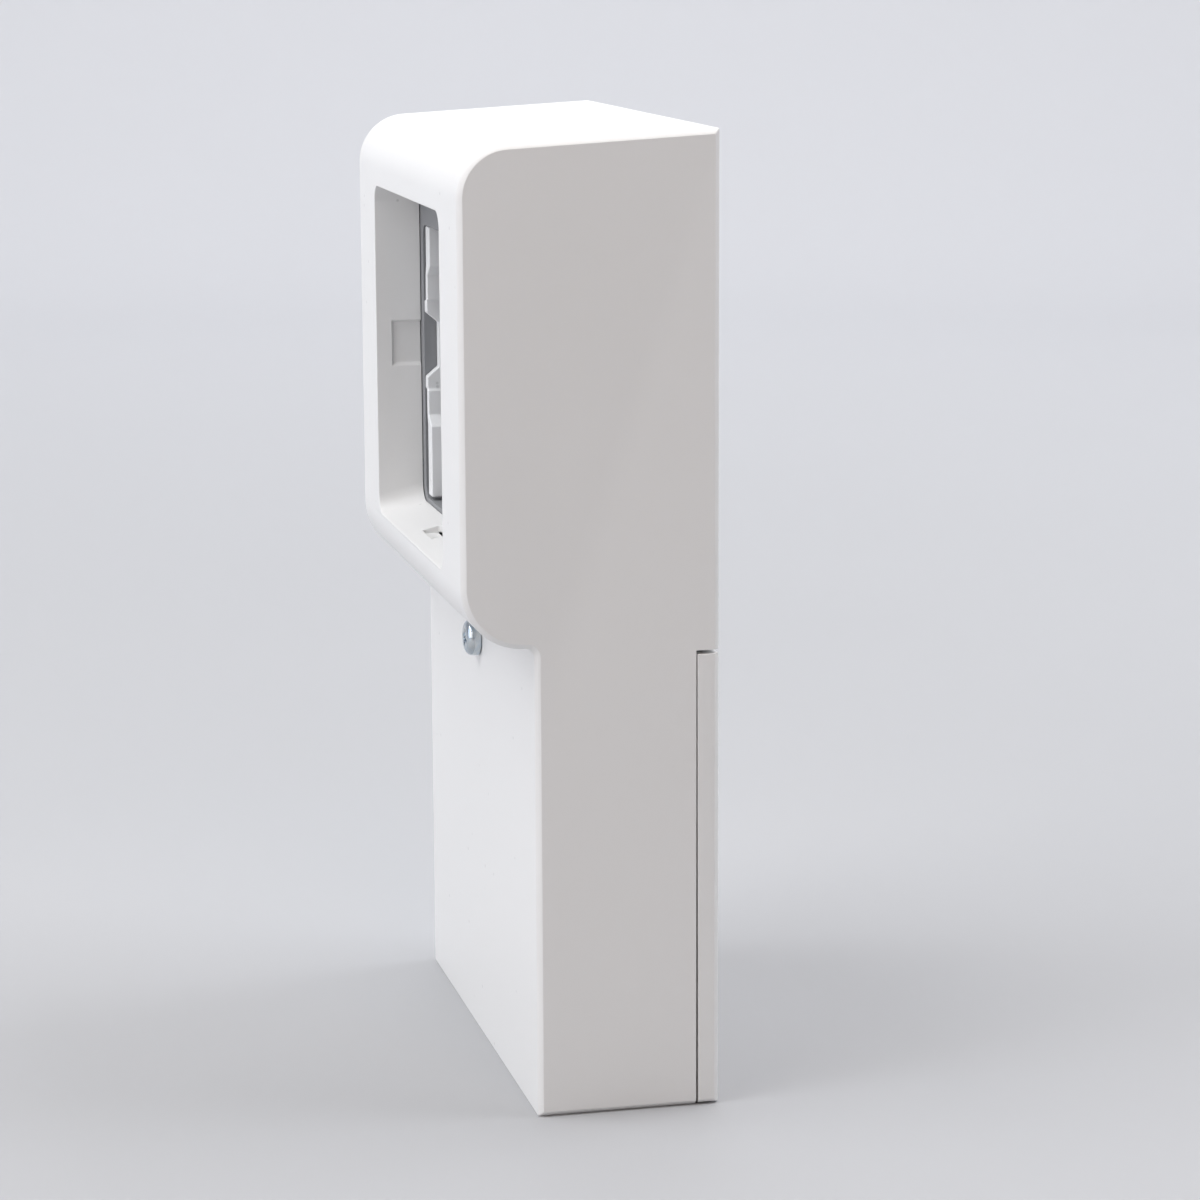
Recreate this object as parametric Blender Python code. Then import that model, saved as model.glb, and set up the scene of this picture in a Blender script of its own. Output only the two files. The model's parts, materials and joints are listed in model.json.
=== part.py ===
"""Compact EV charging post: a deep head with a recessed socket bay on a shallower column.

Every size below is in millimetres. add_object() turns them into metres. The origin is the centre of
the footprint on the floor: +X to the right, -Y to the front, +Z up. Most pieces that touch keep a
clearance of GAP.
"""

import math

import bmesh
import bpy
from mathutils import Matrix, Vector

MM = 0.001

# Enclosure.
WIDTH = 176.6
HEAD_DEPTH = 80.3
COLUMN_DEPTH = 57.8
COLUMN_HEIGHT = 148.4
HEAD_HEIGHT = 155.6
TOP_SLOPE = math.radians(3.14)
WALL = 3.0
EDGE_ROUND = 1.65
TOP_FILLET = 16.1
CHIN_SHARE = 0.8622  # of how far the head stands out over the column
NECK_FILLET = 2.6
GAP = 0.3
OVER = 1.0  # how far a cutter or a joined piece runs past the face it meets

# Window and recess in the front of the head.
WINDOW_SIDE = 29.9
WINDOW_ABOVE_CHIN = 0.3
WINDOW_ABOVE = 25.5
WINDOW_FILLET = 6.0
RECESS_DEPTH = 15.55
RECESS_WALL = 2.5
RECESS_FLOOR_RISE = 3.95
SCOOP_HEIGHT = 15.2
SCOOP_DEPTH = 1.0
SCOOP_SETBACK = 5.5
DRAIN_WIDTH = 18.0
DRAIN_SETBACK = 6.0
DRAIN_LENGTH = 6.0

# Rear cover of the column, back plate of the head, base plate.
COVER_DEPTH = 7.3
COVER_LIFT = 0.6
COVER_DROP = 4.1
COVER_SLOT = 1.1
COVER_TAPER = 0.35
COVER_SKIN = 2.6
COVER_TAB_WIDTH = 20.0
COVER_TAB = 2.6
BRIDGE_DEPTH = 3.4
BRIDGE_INSET = 0.5
BACK_PLATE = 2.5
BACK_INSET = 2.5
KEYHOLE_NECK = 2.4
KEYHOLE_HEAD = 4.6
KEYHOLE_DROP = 11.0
WALL_SLOT_HALF = 6.0
PLATE_CORNER = 1.5
BOSS = 9.0
BOSS_LENGTH = 12.0
BASE_HEIGHT = 18.0
BASE_PLATE = 3.0
LEDGE = 5.0

# Dark panel of the bay, and the light cradle inside its opening.
PANEL = 2.5
PANEL_LAP = 7.0
OPENING_SIDE = 4.0
OPENING_BELOW = 5.2
OPENING_ABOVE = 13.1
OPENING_FILLET = 4.0
TRAY_DEPTH = 15.6
TRAY_WALL = 1.5
CHEEK_END = 6.1
CHEEK_STEP = 2.8
CHEEK_NECK = 3.9
CHEEK_END_OFFSET = 3.6
CHEEK_STEP_OFFSET = 2.4
CHEEK_LEDGE = 0.1622  # this and the ramp's height are shares of the cradle's height
CHEEK_RAMP = 0.2572
CHEEK_RAMP_RISE = 3.5
CHEEK_LEDGE_RISE = 0.6
NOTCH_MOUTH = 21.6
NOTCH_FLOOR = 14.9
NOTCH_DEPTH = 4.0
CRADLE_PLATE = 2.5
STATUS_WIDTH = 40.0
STATUS_HEIGHT = 3.0
LIGHT_BOARD_SIDE = 3.0
LIGHT_BOARD_RISE = 2.0
PANEL_SCREW_LAP = 1.0

# Socket outlet.
SHROUD_SHARE = 0.342  # of the height of the panel opening
SHROUD_WALL = 4.0
SOCKET_PROUD = 1.8
SOCKET_DEPTH = 22.0
FLANGE_SHARE = 2.22  # of the shroud radius
FLANGE = 3.0
CORE_SHARE = 0.7  # of the shroud radius
CORE_FLAT_SHARE = 0.8  # of the core radius
CORE_SETBACK = 1.2
POWER_HOLE = 0.173  # holes and their places are shares of the core radius
SIGNAL_HOLE = 0.127
CONTACT_WALL = 0.8
CONTACT_SETBACK = 2.0
CONTACT_LENGTH = 16.0
CONTACTS = {
    "contact_pe": (0.0, 0.0, POWER_HOLE),
    "contact_l1": (-0.66, 0.0, POWER_HOLE),
    "contact_n": (0.66, 0.0, POWER_HOLE),
    "contact_l2": (-0.364, -0.568, POWER_HOLE),
    "contact_l3": (0.364, -0.568, POWER_HOLE),
    "contact_cp": (-0.295, 0.477, SIGNAL_HOLE),
    "contact_pp": (0.295, 0.477, SIGNAL_HOLE),
}

# Hinged lid of the socket.
LID = 3.0
LID_SETBACK = 6.2
LID_SIDE_GAP = 0.5
LID_FILLET = 4.0
LID_LIP_WIDTH = 30.0
LID_LIP = 2.2
LID_LIP_LOW = 3.0
LID_LIP_HEIGHT = 3.0
LID_ABOVE_CRADLE = 2.0
PIN_END = 3.0
HINGE_BELOW_TOP = 6.7
PIN_RADIUS = 1.5
BARREL_RADIUS = 3.4
SPRING_SPAN = 26.0
SPRING_TURNS = 7
SPRING_WIRE = 0.45
SPRING_EASE = 0.15
SPRING_ROOM = 1.5
SPRING_RISE = 9.0
SEAL = 0.8
SEAL_WIDTH = 2.4
SEAL_INSET = 0.8

# Plug lock: a pinion drives a toothed bolt into the socket's groove.
BOLT_RADIUS = 2.0
BOLT_LENGTH = 29.0
BOLT_SETBACK = 14.1
TOOTH_MODULE = 0.9
PINION_TEETH = 9
PINION_WIDTH = 4.0
RACK_TEETH = 5
MESH_CLEARANCE = 0.35
SHAFT_RADIUS = 1.5
SHAFT_LENGTH = 6.0
LOCK_BODY = (-16.0, 12.0, 8.0)  # left end, reach past the pinion, rise above it
LOCK_DEPTH_SHARE = 0.556  # of the room behind the pinion
LOCK_NOSE = (6.0, 2.5, 3.0)  # half width, reach ahead of the bolt, height

# Screws and gland.
SCREW_RADIUS = 3.0
SCREW_LENGTH = 12.0
SCREW_HEAD_RADIUS = 6.0
SCREW_HEAD = 4.6
SCREW_BELOW_NECK = 13.4
SCREW_POINT = 0.9
SCREW_CROSS = (6.4, 1.3)
CROSS_DEPTH = 3.6
CROSS_TAPER = 0.45
DOME_SHARE = 0.45
INSERT_RADIUS = 4.2
INSERT_LENGTH = 7.0
INSERT_BOSS_WALL = 2.0
SMALL_SCREW = 1.5
PANEL_SCREW = 1.3
SMALL_HEAD_RADIUS = 3.2
SMALL_HEAD = 2.0
SMALL_LENGTH = 9.0
SMALL_CROSS = (2.6, 0.7)
SMALL_CROSS_FLOOR = 0.9
SEAT = 0.1  # play between a screw head and the face under it
GLAND_RADIUS = 12.0
GLAND_BORE = 7.5
GLAND_ABOVE = 7.0
GLAND_BELOW = 6.0
GLAND_NUT = 8.0
GLAND_WALL = 2.0
GLAND_COLLAR = 1.5
COLLAR_HEIGHT = 4.0
NUT_LIP = 3.0
GLAND_SEAL = 1.6
SEAL_LENGTH = 10.0

# Electronics on the column's board.
BOARD = 1.6
BOARD_SIDE = 15.0
BOARD_BELOW = 7.0
BOARD_ABOVE = 13.0
STANDOFF = 4.6
STANDOFF_RADIUS = 3.0
RELAY_DEPTH = 20.0
SENSOR_BORE = 7.5
SENSOR_HEIGHT = 12.0
SUPPLY_DEPTH = 22.0
TERMINAL_DEPTH = 16.0
WIRE_HOLE = 1.9
WIRE_DEPTH = 8.0
LEVERS = 5
LEVER = 3.0
KNOB_HEIGHT = 6.0
KNOB_MARK = (1.2, 0.5)  # its width and depth
BUTTON_RADIUS = 2.2
BUTTON_HEIGHT = 3.0
BUTTON_SEAT = 1.0
BUTTON_TRAVEL = 1.6
SWITCH_HEIGHT = 4.0
PART_EDGE = 4.0  # from the board's top or bottom to them, and between two of them
PART_BEVEL = 0.8
CONTROLLER_LAP = 14.0
CONTROLLER_STANDOFF = 3.0
CONTROLLER_SIDE = 6.0
CHIP = (24.0, 2.5, 24.0)
CHIP_BELOW_TOP = 10.0

# Places that follow from the sizes.
HALF = WIDTH / 2
REAR = HEAD_DEPTH / 2
FRONT = -REAR
COLUMN_FRONT = REAR - COLUMN_DEPTH
HEIGHT = COLUMN_HEIGHT + HEAD_HEIGHT
CHIN_FILLET = CHIN_SHARE * (HEAD_DEPTH - COLUMN_DEPTH)
INSIDE = HALF - WALL
SEAM = REAR - COVER_DEPTH
COVER_TOP = COLUMN_HEIGHT - COVER_DROP
SLOT_TOP = COVER_TOP + COVER_SLOT
WINDOW_HALF = HALF - WINDOW_SIDE
WINDOW_BOTTOM = COLUMN_HEIGHT + CHIN_FILLET + WINDOW_ABOVE_CHIN
WINDOW_TOP = HEIGHT - WINDOW_ABOVE
PANEL_FRONT = FRONT + RECESS_DEPTH
PANEL_BACK = PANEL_FRONT + PANEL
OPENING_HALF = WINDOW_HALF - OPENING_SIDE
OPENING_BOTTOM = WINDOW_BOTTOM + OPENING_BELOW
OPENING_TOP = WINDOW_TOP - OPENING_ABOVE
TRAY_BACK = PANEL_FRONT + TRAY_DEPTH
CRADLE_FRONT = PANEL_FRONT + GAP
CRADLE_BACK = TRAY_BACK - GAP
CRADLE_BOTTOM = OPENING_BOTTOM + 4 * GAP
CRADLE_TOP = OPENING_TOP - GAP
CHEEK_OUTER = OPENING_HALF - GAP
CHEEK_INNER = CHEEK_OUTER - CHEEK_END_OFFSET - CHEEK_END
NOTCH_Z = WINDOW_BOTTOM + RECESS_FLOOR_RISE + (WINDOW_TOP - WINDOW_BOTTOM - RECESS_FLOOR_RISE) / 2
SOCKET_Z = (OPENING_BOTTOM + OPENING_TOP) / 2
SHROUD_RADIUS = SHROUD_SHARE * (OPENING_TOP - OPENING_BOTTOM)
CORE_RADIUS = CORE_SHARE * SHROUD_RADIUS
SOCKET_FRONT = CRADLE_BACK - CRADLE_PLATE - SOCKET_PROUD
SOCKET_FLOOR = SOCKET_FRONT + SOCKET_DEPTH
BOLT_Y = SOCKET_FRONT + BOLT_SETBACK
LID_FRONT = PANEL_FRONT + LID_SETBACK
LID_BACK = LID_FRONT + LID
LID_HALF = CHEEK_INNER - LID_SIDE_GAP
HINGE_Z = CRADLE_TOP - HINGE_BELOW_TOP
HINGE_Y = LID_FRONT + LID / 2
BOLT_TIP = SOCKET_Z + SHROUD_RADIUS - SHROUD_WALL + 2 * GAP
PITCH_RADIUS = TOOTH_MODULE * PINION_TEETH / 2
TOOTH_PITCH = math.pi * TOOTH_MODULE
PINION_X = BOLT_RADIUS + TOOTH_MODULE + PITCH_RADIUS + MESH_CLEARANCE
PINION_Z = BOLT_TIP + BOLT_LENGTH - 2.5 * TOOTH_PITCH
SCREW_Z = COLUMN_HEIGHT - SCREW_BELOW_NECK
BASE_TOP = BASE_HEIGHT + BASE_PLATE
BACK_OUTER = REAR - BACK_INSET
BACK_INNER = BACK_OUTER - BACK_PLATE
COLUMN_INNER = COLUMN_FRONT + WALL
BOARD_FRONT = COLUMN_INNER + STANDOFF + GAP
BOARD_BACK = BOARD_FRONT + BOARD
BOARD_HALF = INSIDE - BOARD_SIDE
BOARD_BOTTOM = BASE_TOP + BOARD_BELOW
BOARD_TOP = SCREW_Z - BOARD_ABOVE
BOARD_HEIGHT = BOARD_TOP - BOARD_BOTTOM
PART_FRONT = BOARD_BACK + GAP
BOARD_WIDTH = 2 * BOARD_HALF
PART_MARGIN = 0.1 * BOARD_WIDTH
RELAY_WIDTH = 0.213 * BOARD_WIDTH
SENSOR_RADIUS = 0.1 * BOARD_WIDTH
SUPPLY_WIDTH = 0.285 * BOARD_WIDTH
TERMINAL_WIDTH = 0.412 * BOARD_WIDTH
RELAY_HEIGHT = 0.266 * BOARD_HEIGHT
SUPPLY_HEIGHT = 0.298 * BOARD_HEIGHT
TERMINAL_HEIGHT = 0.234 * BOARD_HEIGHT
SWITCH_BASE = 0.149 * BOARD_HEIGHT
KNOB_RADIUS = 0.43 * SWITCH_BASE


# Materials: colour, roughness and metallic value.
FINISHES = {
    "white_plastic": ((0.86, 0.855, 0.84), 0.42, 0.0),
    "light_grey_plastic": ((0.62, 0.62, 0.63), 0.45, 0.0),
    "dark_grey_plastic": ((0.12, 0.125, 0.135), 0.5, 0.0),
    "black_plastic": ((0.03, 0.03, 0.032), 0.45, 0.0),
    "galvanised_steel": ((0.56, 0.58, 0.6), 0.45, 1.0),
    "zinc_plated_steel": ((0.66, 0.7, 0.74), 0.25, 1.0),
    "brass": ((0.78, 0.6, 0.3), 0.3, 1.0),
    "silver_contact": ((0.8, 0.8, 0.8), 0.25, 1.0),
    "rubber": ((0.03, 0.03, 0.03), 0.8, 0.0),
    "circuit_board": ((0.03, 0.16, 0.08), 0.5, 0.0),
    "component_blue": ((0.05, 0.13, 0.32), 0.45, 0.0),
    "lever_orange": ((0.8, 0.3, 0.05), 0.45, 0.0),
    "light_lens": ((0.8, 0.86, 0.86), 0.2, 0.0),
    "spring_steel": ((0.5, 0.5, 0.52), 0.35, 1.0),
}


def material(name):
    """Return the named material, made on first use."""
    found = bpy.data.materials.get(name)
    if found:
        return found
    colour, roughness, metallic = FINISHES[name]
    made = bpy.data.materials.new(name)
    made.use_nodes = True
    shader = made.node_tree.nodes["Principled BSDF"]
    shader.inputs["Base Color"].default_value = (*colour, 1.0)
    shader.inputs["Roughness"].default_value = roughness
    shader.inputs["Metallic"].default_value = metallic
    return made


# Shapes. Each returns a bmesh in millimetres.
AXIS_POINT = {
    "X": lambda u, v, along: (along, u, v),
    "Y": lambda u, v, along: (u, along, v),
    "Z": lambda u, v, along: (u, v, along),
}


def loft(rings, closed=False):
    """Skin a list of rings with equal point counts. A closed loft joins the last ring to the first."""
    shape = bmesh.new()
    verts = [[shape.verts.new(point) for point in ring] for ring in rings]
    pairs = list(zip(verts, verts[1:]))
    if closed:
        pairs.append((verts[-1], verts[0]))
    else:
        shape.faces.new(verts[0])
        shape.faces.new(list(reversed(verts[-1])))
    for one, two in pairs:
        count = len(one)
        for index in range(count):
            after = (index + 1) % count
            shape.faces.new((one[index], two[index], two[after], one[after]))
    bmesh.ops.recalc_face_normals(shape, faces=shape.faces)
    return shape


def prism(outline, axis, low, high):
    """Extrude an outline along an axis. Its points are (y, z), (x, z) or (x, y) for X, Y or Z."""
    place = AXIS_POINT[axis]
    return loft([[place(u, v, along) for u, v in outline] for along in (low, high)])


def box(low_x, high_x, low_y, high_y, low_z, high_z):
    """A box between two corners."""
    corners = [(low_x, low_z), (high_x, low_z), (high_x, high_z), (low_x, high_z)]
    return prism(corners, "Y", low_y, high_y)


def arc(centre, radius, start, end, steps):
    """Points on an arc, from start to end in degrees."""
    angles = [math.radians(start + (end - start) * step / steps) for step in range(steps + 1)]
    return [(centre[0] + radius * math.cos(a), centre[1] + radius * math.sin(a)) for a in angles]


def circle(centre, radius, steps):
    """Points round a full circle."""
    return arc(centre, radius, 0.0, 360.0 * (steps - 1) / steps, steps - 1)


def rounded_rectangle(low_u, high_u, low_v, high_v, radius, steps=4):
    """Outline of a rectangle with round corners."""
    corners = (
        ((high_u - radius, low_v + radius), -90.0),
        ((high_u - radius, high_v - radius), 0.0),
        ((low_u + radius, high_v - radius), 90.0),
        ((low_u + radius, low_v + radius), 180.0),
    )
    return [
        point
        for centre, start in corners
        for point in arc(centre, radius, start, start + 90.0, steps)
    ]


def cylinder(axis, centre, radius, low, high, steps=16):
    """A cylinder along an axis. The centre holds the two other coordinates."""
    return prism(circle(centre, radius, steps), axis, low, high)


def tube(axis, centre, inner, outer, low, high, steps=16):
    """A ring or sleeve along an axis."""
    place = AXIS_POINT[axis]
    section = ((inner, low), (outer, low), (outer, high), (inner, high))
    rings = [[place(u, v, along) for u, v in circle(centre, radius, steps)] for radius, along in section]
    return loft(rings, closed=True)


def side_outline(inset, rear, bottom):
    """Side view of the enclosure as (y, z) points, moved inwards by inset."""
    neck = (COLUMN_FRONT - NECK_FILLET, COLUMN_HEIGHT - NECK_FILLET)
    chin = (FRONT + CHIN_FILLET, COLUMN_HEIGHT + CHIN_FILLET)
    slope = math.tan(TOP_SLOPE)
    brow_y = FRONT + TOP_FILLET
    brow = (brow_y, HEIGHT - (REAR - brow_y) * slope - TOP_FILLET / math.cos(TOP_SLOPE))
    points = [(rear, bottom), (COLUMN_FRONT + inset, bottom)]
    points += arc(neck, NECK_FILLET + inset, 0.0, 90.0, 3)
    points += arc(chin, CHIN_FILLET - inset, 270.0, 180.0, 10)
    points += arc(brow, TOP_FILLET - inset, 180.0, 90.0 + math.degrees(TOP_SLOPE), 8)
    points.append((rear, HEIGHT - (REAR - rear) * slope - inset / math.cos(TOP_SLOPE)))
    return points


# Objects.
def add_object(name, shape, finish, origin=(0.0, 0.0, 0.0)):
    """Make an object from a bmesh in millimetres, with its own origin, in metres."""
    shape.transform(Matrix.Scale(MM, 4) @ Matrix.Translation(-Vector(origin)))
    mesh = bpy.data.meshes.new(name)
    shape.to_mesh(mesh)
    shape.free()
    mesh.shade_smooth()
    mesh.set_sharp_from_angle(angle=math.radians(32.0))
    mesh.materials.append(material(finish))
    made = bpy.data.objects.new(name, mesh)
    made.location = Vector(origin) * MM
    bpy.context.scene.collection.objects.link(made)
    return made


def helper(target, kind, shape):
    """Make a hidden object that a Boolean of the target uses."""
    mesh = bpy.data.meshes.new(f"{target.name}_{kind}")
    shape.transform(Matrix.Scale(MM, 4))
    shape.to_mesh(mesh)
    shape.free()
    made = bpy.data.objects.new(mesh.name, mesh)
    made.hide_render = True
    made.display_type = "WIRE"
    bpy.context.scene.collection.objects.link(made)
    return made


def combine(target, operation, shape):
    """Add one Boolean modifier to the target."""
    modifier = target.modifiers.new(operation.lower(), "BOOLEAN")
    modifier.operation = operation
    modifier.object = helper(target, operation.lower(), shape)
    return target


def cut(target, *shapes):
    """Cut each shape from the target."""
    for shape in shapes:
        combine(target, "DIFFERENCE", shape)
    return target


def fuse(target, *shapes):
    """Join each shape to the target as one body."""
    for shape in shapes:
        combine(target, "UNION", shape)
    return target


# Enclosure.
def enclosure_solid():
    """The whole outer form with its round side edges."""
    shape = prism(side_outline(0.0, REAR, 0.0), "X", -HALF, HALF)
    ends = [face for face in shape.faces if abs(face.normal.x) > 0.9]
    edges = {edge for face in ends for edge in face.edges}
    bmesh.ops.bevel(
        shape,
        geom=list(edges),
        offset=EDGE_ROUND,
        offset_type="OFFSET",
        segments=3,
        profile=0.5,
        affect="EDGES",
    )
    return shape


def window_shape(grow, start, end):
    """The recess behind the window, or its outer wall: the floor rises towards the panel."""
    rings = []
    for y in (start, end):
        rise = RECESS_FLOOR_RISE * (y - FRONT) / RECESS_DEPTH
        outline = rounded_rectangle(
            -WINDOW_HALF - grow,
            WINDOW_HALF + grow,
            WINDOW_BOTTOM - grow + rise,
            WINDOW_TOP + grow,
            WINDOW_FILLET + grow,
        )
        rings.append([(x, y, z) for x, z in outline])
    return loft(rings)


def panel_screw_places():
    """(x, z) of the four screws that hold the dark panel to the recess."""
    reach = SMALL_HEAD_RADIUS - PANEL_SCREW_LAP
    xs = (-WINDOW_HALF - reach, WINDOW_HALF + reach)
    zs = (WINDOW_BOTTOM + RECESS_FLOOR_RISE + 2 * WINDOW_FILLET, WINDOW_TOP - 2 * WINDOW_FILLET)
    return [(x, z) for x in xs for z in zs]


def boss_places():
    """(x, z) of the four bosses that hold the back plate."""
    reach = INSIDE - BOSS / 2
    return [(x, z) for x in (-reach, reach) for z in (COLUMN_HEIGHT + BOSS, HEIGHT - WALL - BOSS)]


def standoff_places():
    """(x, z) of the four standoffs under the column's board."""
    reach = BOARD_HALF - 2 * STANDOFF_RADIUS
    zs = (BOARD_BOTTOM + 2 * STANDOFF_RADIUS, BOARD_TOP - 2 * STANDOFF_RADIUS)
    return [(x, z) for x in (-reach, reach) for z in zs]


def make_shell():
    """White shell: head and column in one moulding, open at the rear and at the bottom."""
    shell = add_object("shell", enclosure_solid(), "white_plastic")
    cavity = prism(side_outline(WALL, REAR + WALL, -WALL), "X", -INSIDE, INSIDE)
    cut(shell, cavity, box(-WIDTH, WIDTH, SEAM, REAR + WALL, -WALL, SLOT_TOP))
    bridge = box(
        -INSIDE - OVER,
        INSIDE + OVER,
        REAR - BRIDGE_DEPTH,
        REAR - BRIDGE_INSET,
        SLOT_TOP,
        COLUMN_HEIGHT,
    )
    fuse(shell, bridge, window_shape(RECESS_WALL, FRONT + WALL / 2, PANEL_FRONT - GAP))
    for x, z in boss_places():
        side = math.copysign(BOSS / 2 + OVER, x)
        low_x, high_x = sorted((x - math.copysign(BOSS / 2, x), x + side))
        top = BACK_INNER - GAP
        fuse(shell, box(low_x, high_x, top - BOSS_LENGTH, top, z - BOSS / 2, z + BOSS / 2))
    for x, z in panel_screw_places():
        boss = cylinder("Y", (x, z), SMALL_HEAD_RADIUS, FRONT + WALL / 2, PANEL_FRONT - GAP, 12)
        fuse(shell, boss)
    for x, z in standoff_places():
        foot = COLUMN_FRONT + WALL / 2
        fuse(shell, cylinder("Y", (x, z), STANDOFF_RADIUS, foot, COLUMN_INNER + STANDOFF, 10))
    insert_boss = cylinder(
        "Y",
        (0.0, SCREW_Z),
        INSERT_RADIUS + INSERT_BOSS_WALL,
        COLUMN_FRONT + WALL / 2,
        COLUMN_INNER + INSERT_LENGTH + GAP,
    )
    fuse(shell, insert_boss)
    for side in (-1.0, 1.0):
        low_x, high_x = sorted((side * (INSIDE - LEDGE), side * (INSIDE + WALL / 2)))
        ledge_top = BASE_HEIGHT - GAP
        start, end = COLUMN_INNER + LEDGE, SEAM - LEDGE
        fuse(shell, box(low_x, high_x, start, end, ledge_top - WALL, ledge_top))
    cut(shell, window_shape(0.0, FRONT - OVER, PANEL_FRONT + OVER))
    for side in (-1.0, 1.0):
        low_x, high_x = sorted((side * (WINDOW_HALF - OVER), side * (WINDOW_HALF + SCOOP_DEPTH)))
        scoop = box(
            low_x,
            high_x,
            FRONT + SCOOP_SETBACK,
            PANEL_FRONT + OVER,
            NOTCH_Z - SCOOP_HEIGHT / 2,
            NOTCH_Z + SCOOP_HEIGHT / 2,
        )
        cut(shell, scoop)
    drain_start = FRONT + DRAIN_SETBACK
    drain = box(
        -DRAIN_WIDTH / 2,
        DRAIN_WIDTH / 2,
        drain_start,
        drain_start + DRAIN_LENGTH,
        WINDOW_BOTTOM - 2 * RECESS_WALL,
        WINDOW_BOTTOM + 2 * RECESS_WALL,
    )
    cut(shell, drain)
    for x, z in panel_screw_places():
        start = PANEL_FRONT - SMALL_LENGTH
        cut(shell, cylinder("Y", (x, z), PANEL_SCREW + GAP, start, PANEL_FRONT, 8))
    for x, z in boss_places():
        start, end = BACK_OUTER - SMALL_LENGTH - OVER, BACK_INNER + GAP
        cut(shell, cylinder("Y", (x, z), SMALL_SCREW + GAP, start, end, 8))
    centre = (0.0, SCREW_Z)
    start, end = COLUMN_FRONT - OVER, COLUMN_INNER + OVER
    cut(shell, cylinder("Y", centre, SCREW_RADIUS + GAP, start, end))
    end = COLUMN_INNER + INSERT_LENGTH + 2 * OVER
    cut(shell, cylinder("Y", centre, INSERT_RADIUS + GAP, COLUMN_INNER, end))


def make_rear_cover():
    """Service cover of the column: hangs from the slot under the head and swings out."""
    top_edge = (0.0, REAR, (COVER_TOP + SLOT_TOP) / 2)
    cover = add_object("rear_cover", enclosure_solid(), "white_plastic", top_edge)
    front_face = ((SEAM + GAP, COVER_TOP), (SEAM + GAP + COVER_TAPER, COVER_LIFT))
    rear = REAR + OVER
    keep = prism([*front_face, (rear, COVER_LIFT), (rear, COVER_TOP)], "X", -WIDTH, WIDTH)
    combine(cover, "INTERSECT", keep)
    edge = COVER_SKIN + COVER_LIFT
    pocket = box(
        -HALF + COVER_SKIN,
        HALF - COVER_SKIN,
        SEAM - OVER,
        REAR - COVER_SKIN,
        edge,
        COVER_TOP - COVER_SKIN,
    )
    cut(cover, pocket)
    tab_back = REAR - BRIDGE_DEPTH - 2 * GAP
    for x in (-HALF / 2, HALF / 2):
        tab = box(
            x - COVER_TAB_WIDTH / 2,
            x + COVER_TAB_WIDTH / 2,
            tab_back - COVER_TAB,
            tab_back,
            COVER_TOP - COVER_SKIN - OVER,
            COLUMN_HEIGHT - GAP,
        )
        fuse(cover, tab)


def make_back_plate():
    """Steel plate that closes the head's rear, with two keyholes and two slots for a wall."""
    low_z = COLUMN_HEIGHT + GAP
    high_z = HEIGHT - WALL - GAP - (REAR - BACK_INNER) * math.tan(TOP_SLOPE) - OVER
    outline = rounded_rectangle(-INSIDE + GAP, INSIDE - GAP, low_z, high_z, PLATE_CORNER, 2)
    plate = add_object("back_plate", prism(outline, "Y", BACK_INNER, BACK_OUTER), "galvanised_steel")
    through = (BACK_INNER - OVER, BACK_OUTER + OVER)
    for x, z in boss_places():
        cut(plate, cylinder("Y", (x, z), SMALL_SCREW + GAP, *through, 12))
    for x in (-HALF / 2, HALF / 2):
        top = high_z - 2 * BOSS
        neck = math.degrees(math.acos(KEYHOLE_NECK / KEYHOLE_HEAD))
        keyhole = arc((x, top), KEYHOLE_NECK, 0.0, 180.0, 6)
        keyhole += arc((x, top - KEYHOLE_DROP), KEYHOLE_HEAD, 180.0 - neck, 360.0 + neck, 12)
        slot_low = low_z + BOSS
        slot = rounded_rectangle(
            x - WALL_SLOT_HALF,
            x + WALL_SLOT_HALF,
            slot_low,
            slot_low + 2 * KEYHOLE_NECK + SEAT,
            KEYHOLE_NECK,
        )
        cut(plate, prism(keyhole, "Y", *through), prism(slot, "Y", *through))


def make_base_plate():
    """Plate across the foot of the column that carries the cable gland."""
    start, end = COLUMN_INNER + GAP, SEAM - GAP
    outline = rounded_rectangle(-INSIDE + GAP, INSIDE - GAP, start, end, PLATE_CORNER, 2)
    plate = add_object("base_plate", prism(outline, "Z", BASE_HEIGHT, BASE_TOP), "galvanised_steel")
    bore = GLAND_RADIUS - GLAND_WALL + GAP
    cut(plate, cylinder("Z", gland_centre(), bore, BASE_HEIGHT - OVER, BASE_TOP + OVER, 20))


def small_screw(name, x, z, head_start, length, radius=SMALL_SCREW):
    """A cross-head screw along Y: its head reaches SMALL_HEAD behind head_start, its shank goes forward."""
    rings = [
        (radius * 0.6, head_start - length),
        (radius, head_start - length + radius),
        (radius, head_start),
        (SMALL_HEAD_RADIUS, head_start),
        (SMALL_HEAD_RADIUS, head_start + SMALL_HEAD * 0.6),
        (SMALL_HEAD_RADIUS * 0.7, head_start + SMALL_HEAD),
    ]
    shape = loft([[(u, y, v) for u, v in circle((x, z), r, 12)] for r, y in rings])
    screw = add_object(name, shape, "zinc_plated_steel")
    start, end = head_start + SMALL_CROSS_FLOOR, head_start + SMALL_HEAD + OVER
    for wide, tall in (SMALL_CROSS, reversed(SMALL_CROSS)):
        cut(screw, box(x - wide / 2, x + wide / 2, start, end, z - tall / 2, z + tall / 2))


def make_back_screws():
    """Four screws through the back plate into the shell's bosses."""
    for index, (x, z) in enumerate(boss_places(), 1):
        small_screw(f"back_screw_{index}", x, z, BACK_OUTER + SEAT, SMALL_LENGTH)


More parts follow.
